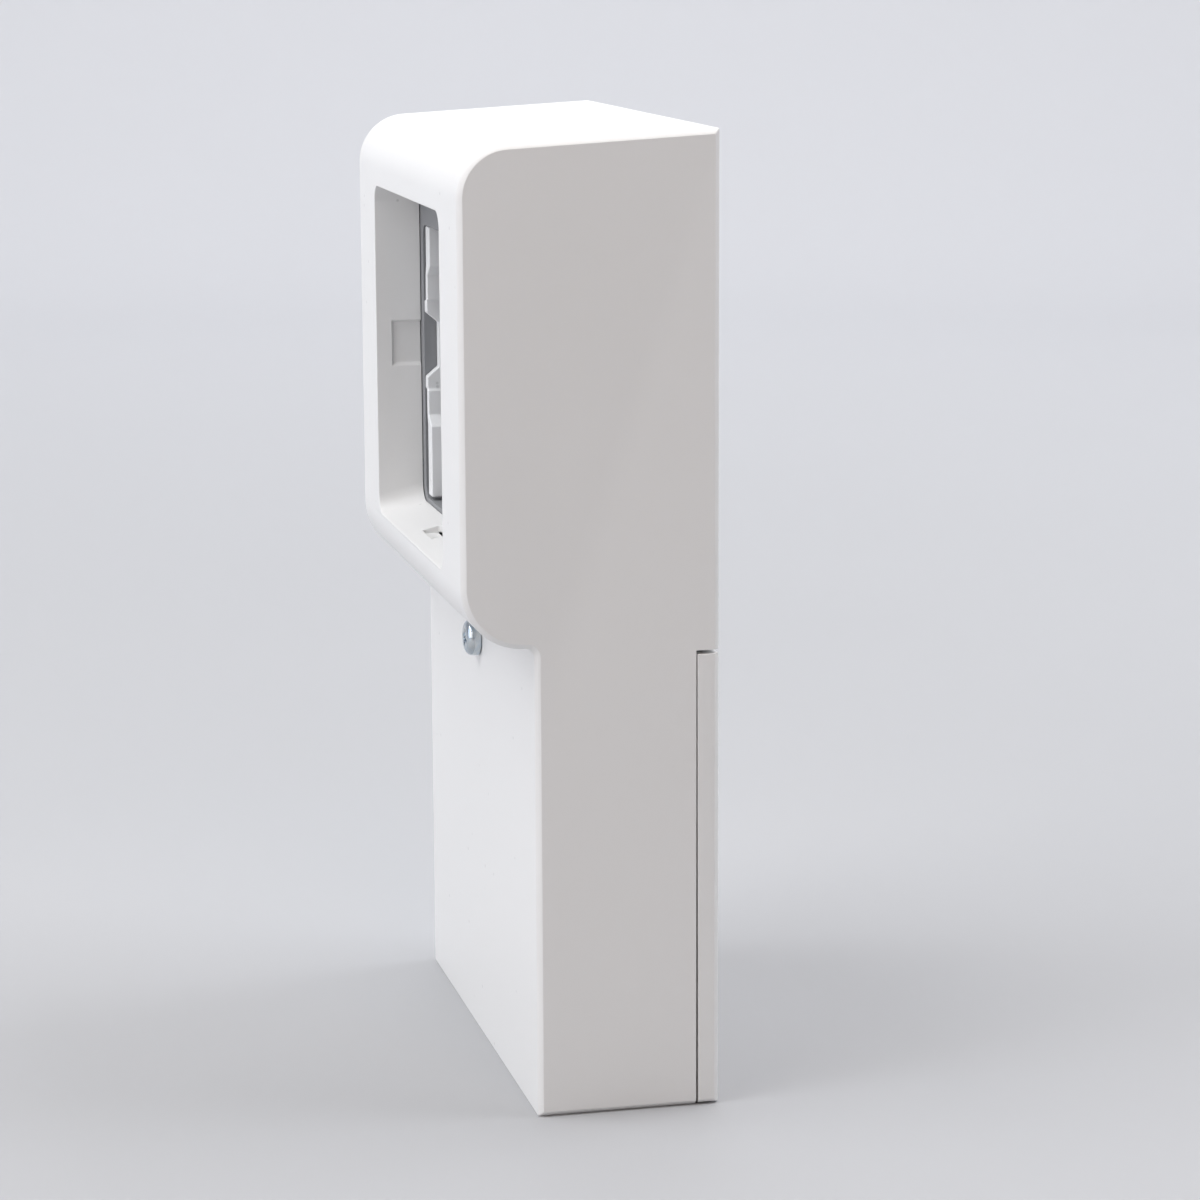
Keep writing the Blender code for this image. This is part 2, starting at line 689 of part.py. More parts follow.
def make_column_screw():
    """The zinc-plated cross-head screw below the head, and the brass insert that it runs in."""
    centre = (0.0, SCREW_Z)
    under = COLUMN_FRONT - SEAT
    dome = SCREW_HEAD * DOME_SHARE
    rings = [
        (SCREW_RADIUS * 0.7, under + SCREW_LENGTH),
        (SCREW_RADIUS, under + SCREW_LENGTH - SCREW_POINT),
        (SCREW_RADIUS, under),
        (SCREW_HEAD_RADIUS, under),
        (SCREW_HEAD_RADIUS, under - SCREW_HEAD + dome),
    ]
    dome_centre = (SCREW_HEAD_RADIUS - dome, under - SCREW_HEAD + dome)
    rings += arc(dome_centre, dome, 0.0, -90.0, 3)[1:]
    shape = loft([[(u, y, v) for u, v in circle(centre, r, 24)] for r, y in rings])
    screw = add_object("column_screw", shape, "zinc_plated_steel", (0.0, under, SCREW_Z))
    tip = under - SCREW_HEAD - SEAT
    for wide, tall in (SCREW_CROSS, reversed(SCREW_CROSS)):
        rings = []
        for y, share in ((tip, 1.0), (tip + CROSS_DEPTH, CROSS_TAPER)):
            half_x, half_z = share * wide / 2, share * tall / 2
            corners = ((-half_x, -half_z), (half_x, -half_z), (half_x, half_z), (-half_x, half_z))
            rings.append([(x, y, SCREW_Z + z) for x, z in corners])
        cut(screw, loft(rings))
    start, end = COLUMN_INNER + GAP, COLUMN_INNER + INSERT_LENGTH
    insert = tube("Y", centre, SCREW_RADIUS + GAP, INSERT_RADIUS, start, end)
    add_object("screw_insert", insert, "brass")


# Cable gland in the base plate.
def gland_centre():
    """(x, y) of the gland: the middle of the column."""
    return (0.0, (COLUMN_INNER + SEAM) / 2)


def make_gland():
    """Gland body through the base plate, its clamping nut below and the rubber seal inside."""
    centre = gland_centre()
    low, high = BASE_HEIGHT - GLAND_BELOW, BASE_TOP + GLAND_ABOVE
    sleeve = cylinder("Z", centre, GLAND_RADIUS - GLAND_WALL, low, high, 20)
    body = add_object("gland_body", sleeve, "black_plastic")
    collar = GLAND_RADIUS + GLAND_COLLAR
    collar_low = BASE_TOP + GAP
    fuse(body, cylinder("Z", centre, collar, collar_low, collar_low + COLLAR_HEIGHT, 6))
    cut(body, cylinder("Z", centre, GLAND_BORE + GLAND_SEAL, low - OVER, high + OVER, 20))
    nut_high = BASE_HEIGHT - GAP
    nut_low = nut_high - GLAND_NUT
    nut = add_object(
        "gland_nut",
        cylinder("Z", centre, collar, nut_low - NUT_LIP, nut_high, 6),
        "black_plastic",
        (*centre, nut_high),
    )
    mouth = cylinder("Z", centre, GLAND_BORE, nut_low - NUT_LIP - OVER, nut_high + OVER, 20)
    thread = cylinder("Z", centre, GLAND_RADIUS - GLAND_WALL + GAP, nut_low, nut_high + OVER, 20)
    cut(nut, mouth, thread)
    seal_low = low + OVER
    seal_outer = GLAND_BORE + GLAND_SEAL - GAP
    seal = tube("Z", centre, GLAND_BORE, seal_outer, seal_low, seal_low + SEAL_LENGTH, 20)
    add_object("gland_seal", seal, "rubber")


# Socket bay.
def make_bay_panel():
    """Dark panel behind the window, with a deep tray round its opening."""
    outline = rounded_rectangle(
        -WINDOW_HALF - PANEL_LAP,
        WINDOW_HALF + PANEL_LAP,
        WINDOW_BOTTOM - PANEL_LAP + RECESS_FLOOR_RISE,
        WINDOW_TOP + PANEL_LAP,
        WINDOW_FILLET,
    )
    panel = add_object("bay_panel", prism(outline, "Y", PANEL_FRONT, PANEL_BACK), "dark_grey_plastic")
    opening = (-OPENING_HALF, OPENING_HALF, OPENING_BOTTOM, OPENING_TOP)
    tray = (
        opening[0] - TRAY_WALL,
        opening[1] + TRAY_WALL,
        opening[2] - TRAY_WALL,
        opening[3] + TRAY_WALL,
    )
    tray_outline = rounded_rectangle(*tray, OPENING_FILLET + TRAY_WALL)
    fuse(panel, prism(tray_outline, "Y", PANEL_FRONT + OVER, TRAY_BACK))
    bore_outline = rounded_rectangle(*opening, OPENING_FILLET)
    cut(panel, prism(bore_outline, "Y", PANEL_FRONT - OVER, TRAY_BACK + OVER))
    low_z, high_z = status_span()
    through = (PANEL_FRONT - OVER, PANEL_BACK + OVER)
    cut(panel, box(-STATUS_WIDTH / 2, STATUS_WIDTH / 2, *through, low_z, high_z))
    for x, z in panel_screw_places():
        cut(panel, cylinder("Y", (x, z), SMALL_SCREW + GAP, *through, 10))


def status_span():
    """Low and high z of the slot for the status light, in the band above the opening."""
    middle = (OPENING_TOP + TRAY_WALL + WINDOW_TOP) / 2
    return middle - STATUS_HEIGHT / 2, middle + STATUS_HEIGHT / 2


def make_status_light():
    """Status lens in the panel's slot, and the small light board behind it."""
    low_z, high_z = status_span()
    half = STATUS_WIDTH / 2 - GAP
    lens = box(-half, half, PANEL_FRONT, PANEL_BACK - GAP, low_z + GAP, high_z - GAP)
    add_object("status_lens", lens, "light_lens")
    board_front = PANEL_BACK + GAP
    board = box(
        -half - LIGHT_BOARD_SIDE,
        half + LIGHT_BOARD_SIDE,
        board_front,
        board_front + BOARD,
        low_z - LIGHT_BOARD_RISE,
        high_z + LIGHT_BOARD_RISE,
    )
    add_object("light_board", board, "circuit_board")


def make_panel_screws():
    """Four screws from behind through the dark panel into the recess."""
    for index, (x, z) in enumerate(panel_screw_places(), 1):
        small_screw(f"panel_screw_{index}", x, z, PANEL_BACK + SEAT, SMALL_LENGTH, PANEL_SCREW)


def cheek_outline():
    """Front view of the right cheek: thin beside the finger notch, thicker towards both ends."""
    ledge = CHEEK_LEDGE * (CRADLE_TOP - CRADLE_BOTTOM)
    ramp = CHEEK_RAMP * (CRADLE_TOP - CRADLE_BOTTOM)
    neck_in = CHEEK_OUTER - CHEEK_NECK
    step_out = CHEEK_OUTER - CHEEK_STEP_OFFSET
    step_in = step_out - CHEEK_STEP
    end_out = CHEEK_OUTER - CHEEK_END_OFFSET
    levels = [
        (ledge, CHEEK_OUTER, neck_in),
        (ledge + CHEEK_LEDGE_RISE, step_out, step_in),
        (ramp, step_out, step_in),
        (ramp + CHEEK_RAMP_RISE, end_out, CHEEK_INNER),
    ]
    upper = [(CRADLE_TOP, end_out, CHEEK_INNER)]
    upper += [(NOTCH_Z + rise, outer, inner) for rise, outer, inner in reversed(levels)]
    lower = [(NOTCH_Z - rise, outer, inner) for rise, outer, inner in levels]
    lower.append((CRADLE_BOTTOM, end_out, CHEEK_INNER))
    rows = upper + lower
    return [(inner, z) for z, _, inner in rows] + [(outer, z) for z, outer, _ in reversed(rows)]


def make_cradle():
    """Light grey cradle: two cheeks with finger notches, joined by the plate round the socket."""
    plate_front = CRADLE_BACK - CRADLE_PLATE
    reach = CHEEK_OUTER - CHEEK_END_OFFSET - OVER
    plate = box(-reach, reach, plate_front, CRADLE_BACK, CRADLE_BOTTOM, CRADLE_TOP)
    cradle = add_object("bay_cradle", plate, "light_grey_plastic")
    for side in (-1.0, 1.0):
        outline = [(side * x, z) for x, z in cheek_outline()]
        fuse(cradle, prism(outline, "Y", CRADLE_FRONT, CRADLE_BACK))
    notch_mouth = NOTCH_MOUTH / 2
    notch_floor = NOTCH_FLOOR / 2
    slope = (notch_mouth - notch_floor) / NOTCH_DEPTH
    wide = notch_mouth + slope * OVER
    floor_y = CRADLE_FRONT + NOTCH_DEPTH
    notch = [
        (CRADLE_FRONT - OVER, NOTCH_Z - wide),
        (floor_y, NOTCH_Z - notch_floor),
        (floor_y, NOTCH_Z + notch_floor),
        (CRADLE_FRONT - OVER, NOTCH_Z + wide),
    ]
    pin_seat = LID_HALF + LID_SIDE_GAP + PIN_END + GAP
    through = (plate_front - OVER, CRADLE_BACK + OVER)
    cut(
        cradle,
        prism(notch, "X", -HALF, HALF),
        cylinder("Y", (0.0, SOCKET_Z), SHROUD_RADIUS + GAP, *through, 40),
        cylinder("X", (HINGE_Y, HINGE_Z), PIN_RADIUS + GAP, -pin_seat, pin_seat, 12),
    )


def make_socket():
    """Socket housing with its round groove, and the core with seven contact holes."""
    centre = (0.0, SOCKET_Z)
    half = FLANGE_SHARE * SHROUD_RADIUS / 2
    back = SOCKET_FLOOR + FLANGE
    drum = cylinder("Y", centre, SHROUD_RADIUS, SOCKET_FRONT, back, 40)
    housing = add_object("socket_body", drum, "black_plastic")
    flange_front = CRADLE_BACK + GAP
    flange = rounded_rectangle(-half, half, SOCKET_Z - half, SOCKET_Z + half, 4.0, 3)
    fuse(housing, prism(flange, "Y", flange_front, flange_front + FLANGE))
    inner = SHROUD_RADIUS - SHROUD_WALL
    groove = cylinder("Y", centre, inner, SOCKET_FRONT - OVER, SOCKET_FLOOR, 40)
    top = SOCKET_Z + SHROUD_RADIUS + OVER
    bolt_hole = cylinder("Z", (0.0, BOLT_Y), BOLT_RADIUS + GAP, SOCKET_Z, top, 12)
    cut(housing, groove, bolt_hole)
    flat = math.degrees(math.asin(CORE_FLAT_SHARE))
    outline = arc(centre, CORE_RADIUS, 180.0 - flat, 360.0 + flat, 30)
    core_front = SOCKET_FRONT + CORE_SETBACK
    core = add_object("socket_core", prism(outline, "Y", core_front, SOCKET_FLOOR - GAP), "black_plastic")
    sleeve_front = core_front + CONTACT_SETBACK
    sleeve_back = sleeve_front + CONTACT_LENGTH
    for name, shares in CONTACTS.items():
        x, z, hole = (CORE_RADIUS * share for share in shares)
        place = (x, SOCKET_Z + z)
        cut(core, cylinder("Y", place, hole, core_front - OVER, sleeve_back + GAP, 14))
        sleeve = tube("Y", place, hole - GAP - CONTACT_WALL, hole - GAP, sleeve_front, sleeve_back, 14)
        add_object(name, sleeve, "silver_contact")


def make_lid():
    """Sprung lid between the cheeks, with its barrels, pin, spring and seal."""
    pivot = (0.0, HINGE_Y, HINGE_Z)
    bottom = CRADLE_BOTTOM + LID_ABOVE_CRADLE
    outline = [
        (LID_HALF, HINGE_Z),
        (-LID_HALF, HINGE_Z),
        *arc((-LID_HALF + LID_FILLET, bottom + LID_FILLET), LID_FILLET, 180.0, 270.0, 4),
        *arc((LID_HALF - LID_FILLET, bottom + LID_FILLET), LID_FILLET, 270.0, 360.0, 4),
    ]
    lid = add_object("lid", prism(outline, "Y", LID_FRONT, LID_BACK), "dark_grey_plastic", pivot)
    fuse(lid, cylinder("X", (HINGE_Y, HINGE_Z), BARREL_RADIUS, -LID_HALF, LID_HALF, 16))
    lip_half = LID_LIP_WIDTH / 2
    lip_low = bottom + LID_LIP_LOW
    lip_round = LID_LIP_HEIGHT / 2 - SEAT
    lip = rounded_rectangle(-lip_half, lip_half, lip_low, lip_low + LID_LIP_HEIGHT, lip_round, 3)
    fuse(lid, prism(lip, "Y", LID_FRONT - LID_LIP, LID_FRONT + OVER))
    spring_room = box(
        -SPRING_SPAN / 2 - SPRING_ROOM,
        SPRING_SPAN / 2 + SPRING_ROOM,
        LID_FRONT - BARREL_RADIUS,
        LID_BACK + BARREL_RADIUS,
        HINGE_Z - BARREL_RADIUS - SEAL_INSET,
        HINGE_Z + SPRING_RISE,
    )
    cut(lid, spring_room, cylinder("X", (HINGE_Y, HINGE_Z), PIN_RADIUS + GAP, -HALF, HALF, 12))
    pin_reach = LID_HALF + LID_SIDE_GAP + PIN_END
    pin = cylinder("X", (HINGE_Y, HINGE_Z), PIN_RADIUS, -pin_reach, pin_reach, 12)
    add_object("lid_pin", pin, "spring_steel")
    seal_front = LID_BACK + GAP
    outer = SHROUD_RADIUS - SEAL_INSET
    inner = outer - SEAL_WIDTH
    seal = tube("Y", (0.0, SOCKET_Z), inner, outer, seal_front, seal_front + SEAL, 32)
    add_object("lid_seal", seal, "rubber", pivot)
    make_lid_spring()


def make_lid_spring():
    """Torsion spring round the pin."""
    coil_radius = PIN_RADIUS + GAP + SPRING_WIRE + SPRING_EASE
    steps = 10 * SPRING_TURNS
    rings = []
    for step in range(steps + 1):
        turn = 2 * math.pi * SPRING_TURNS * step / steps
        outward = Vector((0.0, math.cos(turn), math.sin(turn)))
        along = Vector((SPRING_SPAN * (step / steps - 0.5), HINGE_Y, HINGE_Z))
        middle = along + outward * coil_radius
        corners = circle((0.0, 0.0), SPRING_WIRE, 6)
        rings.append([middle + outward * out + Vector((side, 0.0, 0.0)) for out, side in corners])
    add_object("lid_spring", loft(rings), "spring_steel")


# Plug lock.
def rack_outline():
    """(x, z) outline of the bolt's toothed upper end, with its teeth towards +X."""
    low = PINION_Z - RACK_TEETH / 2 * TOOTH_PITCH
    root = BOLT_RADIUS
    tip = BOLT_RADIUS + 1.6 * TOOTH_MODULE
    top = BOLT_TIP + BOLT_LENGTH
    points = [(-BOLT_RADIUS, top), (-BOLT_RADIUS, low - OVER), (root, low - OVER)]
    for tooth in range(RACK_TEETH):
        middle = low + (tooth + 0.5) * TOOTH_PITCH
        points += [(root, middle - 0.34 * TOOTH_PITCH), (tip, middle - 0.12 * TOOTH_PITCH)]
        points += [(tip, middle + 0.12 * TOOTH_PITCH), (root, middle + 0.34 * TOOTH_PITCH)]
    points.append((root, top))
    return points


def pinion_outline():
    """(x, z) outline of the pinion: a gap between two teeth faces the bolt's middle tooth."""
    root = PITCH_RADIUS - 1.15 * TOOTH_MODULE
    tip = PITCH_RADIUS + 0.6 * TOOTH_MODULE
    step = 2 * math.pi / PINION_TEETH
    points = []
    for tooth in range(PINION_TEETH):
        middle = math.pi + (tooth + 0.5) * step
        for radius, share in ((root, -0.32), (tip, -0.12), (tip, 0.12), (root, 0.32)):
            angle = middle + share * step
            points.append((PINION_X + radius * math.cos(angle), PINION_Z + radius * math.sin(angle)))
    return points


def make_plug_lock():
    """Lock bolt with a rack, the pinion that drives it and the actuator that holds both."""
    axis = (0.0, BOLT_Y)
    rack_low = PINION_Z - RACK_TEETH / 2 * TOOTH_PITCH - OVER
    half_width = PINION_WIDTH / 2
    bolt = add_object(
        "lock_bolt",
        cylinder("Z", axis, BOLT_RADIUS, BOLT_TIP, rack_low + OVER, 12),
        "zinc_plated_steel",
        (0.0, BOLT_Y, BOLT_TIP),
    )
    fuse(bolt, prism(rack_outline(), "Y", BOLT_Y - half_width, BOLT_Y + half_width))
    pinion = add_object(
        "lock_pinion",
        prism(pinion_outline(), "Y", BOLT_Y - half_width, BOLT_Y + half_width),
        "brass",
        (PINION_X, BOLT_Y, PINION_Z),
    )
    shaft = (PINION_X, PINION_Z)
    shaft_end = BOLT_Y + half_width + SHAFT_LENGTH
    fuse(pinion, cylinder("Y", shaft, SHAFT_RADIUS, BOLT_Y, shaft_end, 12))
    left, reach, rise = LOCK_BODY
    front = BOLT_Y + half_width + GAP
    depth = LOCK_DEPTH_SHARE * (BACK_INNER - front)
    low = SOCKET_Z + SHROUD_RADIUS + 2 * GAP
    case = box(left, PINION_X + reach, front, front + depth, low, PINION_Z + rise)
    actuator = add_object("lock_actuator", case, "black_plastic")
    nose_half, nose_reach, nose_height = LOCK_NOSE
    nose_front = BOLT_Y - BOLT_RADIUS - nose_reach
    fuse(actuator, box(-nose_half, nose_half, nose_front, front + OVER, low, low + nose_height))
    guide = cylinder("Z", axis, BOLT_RADIUS + GAP, low - OVER, low + nose_height + OVER, 12)
    seat = cylinder("Y", shaft, SHAFT_RADIUS + GAP, front - OVER, shaft_end + GAP, 12)
    cut(actuator, guide, seat)


# Electronics.
def rounded_block(low_x, high_x, depth, low_z, high_z):
    """A part on the column's board: a box with small bevels."""
    block = box(low_x, high_x, PART_FRONT, PART_FRONT + depth, low_z, high_z)
    bmesh.ops.bevel(block, geom=block.edges[:], offset=PART_BEVEL, segments=1, affect="EDGES")
    return block


def make_power_board():
    """Board on the column's standoffs, with relays, supply and residual-current sensor."""
    board = box(-BOARD_HALF, BOARD_HALF, BOARD_FRONT, BOARD_BACK, BOARD_BOTTOM, BOARD_TOP)
    add_object("power_board", board, "circuit_board")
    top = BOARD_TOP - PART_EDGE
    low_x = -BOARD_HALF + PART_MARGIN
    for name in ("relay_1", "relay_2"):
        relay = rounded_block(low_x, low_x + RELAY_WIDTH, RELAY_DEPTH, top - RELAY_HEIGHT, top)
        add_object(name, relay, "component_blue")
        low_x += RELAY_WIDTH + PART_EDGE
    centre = (BOARD_HALF - SENSOR_RADIUS - PART_MARGIN, top - SENSOR_RADIUS)
    end = PART_FRONT + SENSOR_HEIGHT
    ring = tube("Y", centre, SENSOR_BORE, SENSOR_RADIUS, PART_FRONT, end, 24)
    add_object("current_sensor", ring, "black_plastic")
    high_x = BOARD_HALF - PART_EDGE
    low_z = BOARD_BOTTOM + PART_EDGE
    supply = rounded_block(
        high_x - SUPPLY_WIDTH, high_x, SUPPLY_DEPTH, low_z, low_z + SUPPLY_HEIGHT
    )
    add_object("power_supply", supply, "black_plastic")


def make_terminals():
    """Terminal block for the supply cable, with one clamping lever for each core."""
    low_x = -BOARD_HALF + PART_MARGIN
    low_z = BOARD_BOTTOM + PART_EDGE
    top = low_z + TERMINAL_HEIGHT
    back = PART_FRONT + TERMINAL_DEPTH
    block = box(low_x, low_x + TERMINAL_WIDTH, PART_FRONT, back, low_z, top)
    terminal = add_object("terminal_block", block, "light_grey_plastic")
    pitch = TERMINAL_WIDTH / LEVERS
    hinge = (back + GAP + LEVER / 2, top - LEVER / 2 - OVER)
    entry_y = PART_FRONT + TERMINAL_DEPTH / 2
    for index in range(LEVERS):
        middle = low_x + pitch * (index + 0.5)
        entry = cylinder("Z", (middle, entry_y), WIRE_HOLE, low_z - OVER, low_z + WIRE_DEPTH, 10)
        cut(terminal, entry)
        side = [(back + GAP, low_z + 2 * OVER), *arc(hinge, LEVER / 2, 180.0, 0.0, 6)]
        side.append((back + GAP + LEVER, low_z + OVER))
        reach = pitch / 2 - OVER
        lever = prism(side, "X", middle - reach, middle + reach)
        add_object(f"terminal_lever_{index + 1}", lever, "lever_orange", (middle, *hinge))


def make_controls():
    """Rotary current selector and the service push-button, each on its base."""
    half = SWITCH_BASE / 2
    back = PART_FRONT + SWITCH_HEIGHT
    knob_x = -BOARD_HALF + PART_MARGIN + half
    button_x = knob_x + 2 * SWITCH_BASE
    middle = BOARD_BOTTOM + 2 * PART_EDGE + TERMINAL_HEIGHT + half
    low_z, high_z = middle - half, middle + half
    base = box(knob_x - half, knob_x + half, PART_FRONT, back, low_z, high_z)
    add_object("selector_base", base, "black_plastic")
    low, high = back + GAP, back + GAP + KNOB_HEIGHT
    knob = add_object(
        "selector_knob",
        cylinder("Y", (knob_x, middle), KNOB_RADIUS, low, high, 20),
        "light_grey_plastic",
        (knob_x, low, middle),
    )
    mark_half, mark_depth = KNOB_MARK[0] / 2, KNOB_MARK[1]
    mark = (knob_x - mark_half, knob_x + mark_half, high - mark_depth, high + OVER)
    cut(knob, box(*mark, middle - mark_half, middle + 2 * KNOB_RADIUS))
    base = box(button_x - half, button_x + half, PART_FRONT, back, low_z, high_z)
    holder = add_object("button_base", base, "black_plastic")
    seat = PART_FRONT + BUTTON_SEAT
    cut(holder, cylinder("Y", (button_x, middle), BUTTON_RADIUS + GAP, seat, back + OVER, 12))
    low, high = seat + BUTTON_TRAVEL, back + BUTTON_HEIGHT
    plunger = cylinder("Y", (button_x, middle), BUTTON_RADIUS, low, high, 12)
    add_object("service_button", plunger, "lever_orange", (button_x, low, middle))


def make_controller():
    """Controller board on the inside of the back plate."""
    back = BACK_INNER - CONTROLLER_STANDOFF
    low_z = COLUMN_HEIGHT + CONTROLLER_LAP
    high_z = HEIGHT - WALL - CONTROLLER_LAP
    half = INSIDE - BOSS - CONTROLLER_SIDE
    board = box(-half, half, back - BOARD, back, low_z, high_z)
    add_object("controller_board", board, "circuit_board")
    width, depth, height = CHIP
    chip_back = back - BOARD - GAP
    top = high_z - CHIP_BELOW_TOP
    chips = (
        ("processor_can", -half / 2, "galvanised_steel"),
        ("radio_module", half / 2, "component_blue"),
    )
    for name, x, finish in chips:
        low_x, high_x = x - width / 2, x + width / 2
        chip = box(low_x, high_x, chip_back - depth, chip_back, top - height, top)
        add_object(name, chip, finish)


def clear_scene():
    """Remove whatever the scene holds."""
    for found in list(bpy.data.objects):
        bpy.data.objects.remove(found)


def main():
    """Build every sub-part."""
    clear_scene()
    make_shell()
    make_rear_cover()
    make_back_plate()
    make_back_screws()
    make_base_plate()
    make_gland()
    make_column_screw()
    make_bay_panel()
    make_panel_screws()
    make_status_light()
    make_cradle()
    make_socket()
    make_lid()
    make_plug_lock()
    make_power_board()
    make_terminals()
    make_controls()
    make_controller()


main()
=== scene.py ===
"""Looks of a compact EV charging post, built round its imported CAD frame.

Sizes are in millimetres, in the frame's axes: +X right, -Y front, +Z up. Shapes turn them to
metres when their mesh is made. The stage is in metres.
"""

import json
import logging
import math
from dataclasses import dataclass, field
from enum import Enum
from typing import Any, Iterable, Sequence, Union

import bmesh
import bpy
from mathutils import Matrix, Vector


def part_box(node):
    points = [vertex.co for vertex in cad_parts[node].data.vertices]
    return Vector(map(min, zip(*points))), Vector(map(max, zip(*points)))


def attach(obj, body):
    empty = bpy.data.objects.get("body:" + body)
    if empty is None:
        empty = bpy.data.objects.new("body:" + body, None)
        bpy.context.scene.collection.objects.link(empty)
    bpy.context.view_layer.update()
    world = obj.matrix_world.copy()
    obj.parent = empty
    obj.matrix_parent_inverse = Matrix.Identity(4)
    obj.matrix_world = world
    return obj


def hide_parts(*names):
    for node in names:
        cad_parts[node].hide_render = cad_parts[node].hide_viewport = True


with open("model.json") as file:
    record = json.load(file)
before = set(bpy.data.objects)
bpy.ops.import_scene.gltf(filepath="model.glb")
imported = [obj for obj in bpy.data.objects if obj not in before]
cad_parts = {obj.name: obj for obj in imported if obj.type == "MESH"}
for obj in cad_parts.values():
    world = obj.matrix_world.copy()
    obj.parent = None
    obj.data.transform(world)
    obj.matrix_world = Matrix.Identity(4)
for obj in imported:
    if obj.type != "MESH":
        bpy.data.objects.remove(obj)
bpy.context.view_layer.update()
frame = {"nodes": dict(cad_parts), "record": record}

logging.basicConfig(level=logging.INFO, format="%(message)s")
log = logging.getLogger("post")

MM = 0.001
OVER = 1.0  # how far a cutter or a joined shape runs past the face it meets
GAP = 0.3  # play between pieces
Point = tuple[float, float]
Triple = tuple[float, float, float]
Colour = Triple
Space = tuple[Point, Point, Point]
SHARP = math.radians(38.0)  # edges that turn more than this are rounded
SMOOTH = math.radians(25.0)  # edges that turn less than this are shaded smooth
FINE = 0.2  # roundings under this width are kept from overlapping
PLASTIC_IOR = 1.49
POINTINESS = 7  # output of the Geometry node


# Shader maths.
class Value:
    """A shader socket that adds a Math node wherever it meets an operator."""

    def __init__(self, graph: "Graph", socket: bpy.types.NodeSocket) -> None:
        """Keep the socket and the graph that it belongs to."""
        self.graph = graph
        self.socket = socket

    def math(self, operation: str, *operands: "Number") -> "Value":
        """Add one Math node.

        Args:
            operation: the node's operation.
            operands: its inputs in order.

        Returns:
            The node's output.
        """
        inputs = dict(enumerate(operands))
        return self.graph.node("ShaderNodeMath", {"operation": operation}, inputs)

    def __add__(self, other: "Number") -> "Value":
        """Return self + other."""
        return self.math("ADD", self, other)

    __radd__ = __add__

    def __sub__(self, other: "Number") -> "Value":
        """Return self - other."""
        return self.math("SUBTRACT", self, other)

    def __rsub__(self, other: "Number") -> "Value":
        """Return other - self."""
        return self.math("SUBTRACT", other, self)

    def __mul__(self, other: "Number") -> "Value":
        """Return self * other."""
        return self.math("MULTIPLY", self, other)

    __rmul__ = __mul__

    def __truediv__(self, other: "Number") -> "Value":
        """Return self / other."""
        return self.math("DIVIDE", self, other)

    def __gt__(self, other: "Number") -> "Value":
        """Return 1 where self is greater than other, or else 0."""
        return self.math("GREATER_THAN", self, other)

    def between(self, low: float, high: float) -> "Value":
        """Return a smooth step from 0 at low to 1 at high, which may lie below low.

        Args:
            low: the value at which the step starts.
            high: the value at which it ends.

        Returns:
            The step.
        """
        inputs = {"Value": self, "From Min": low, "From Max": high}
        settings = {"interpolation_type": "SMOOTHSTEP"}
        return self.graph.node("ShaderNodeMapRange", settings, inputs)


Number = Union[float, Value]


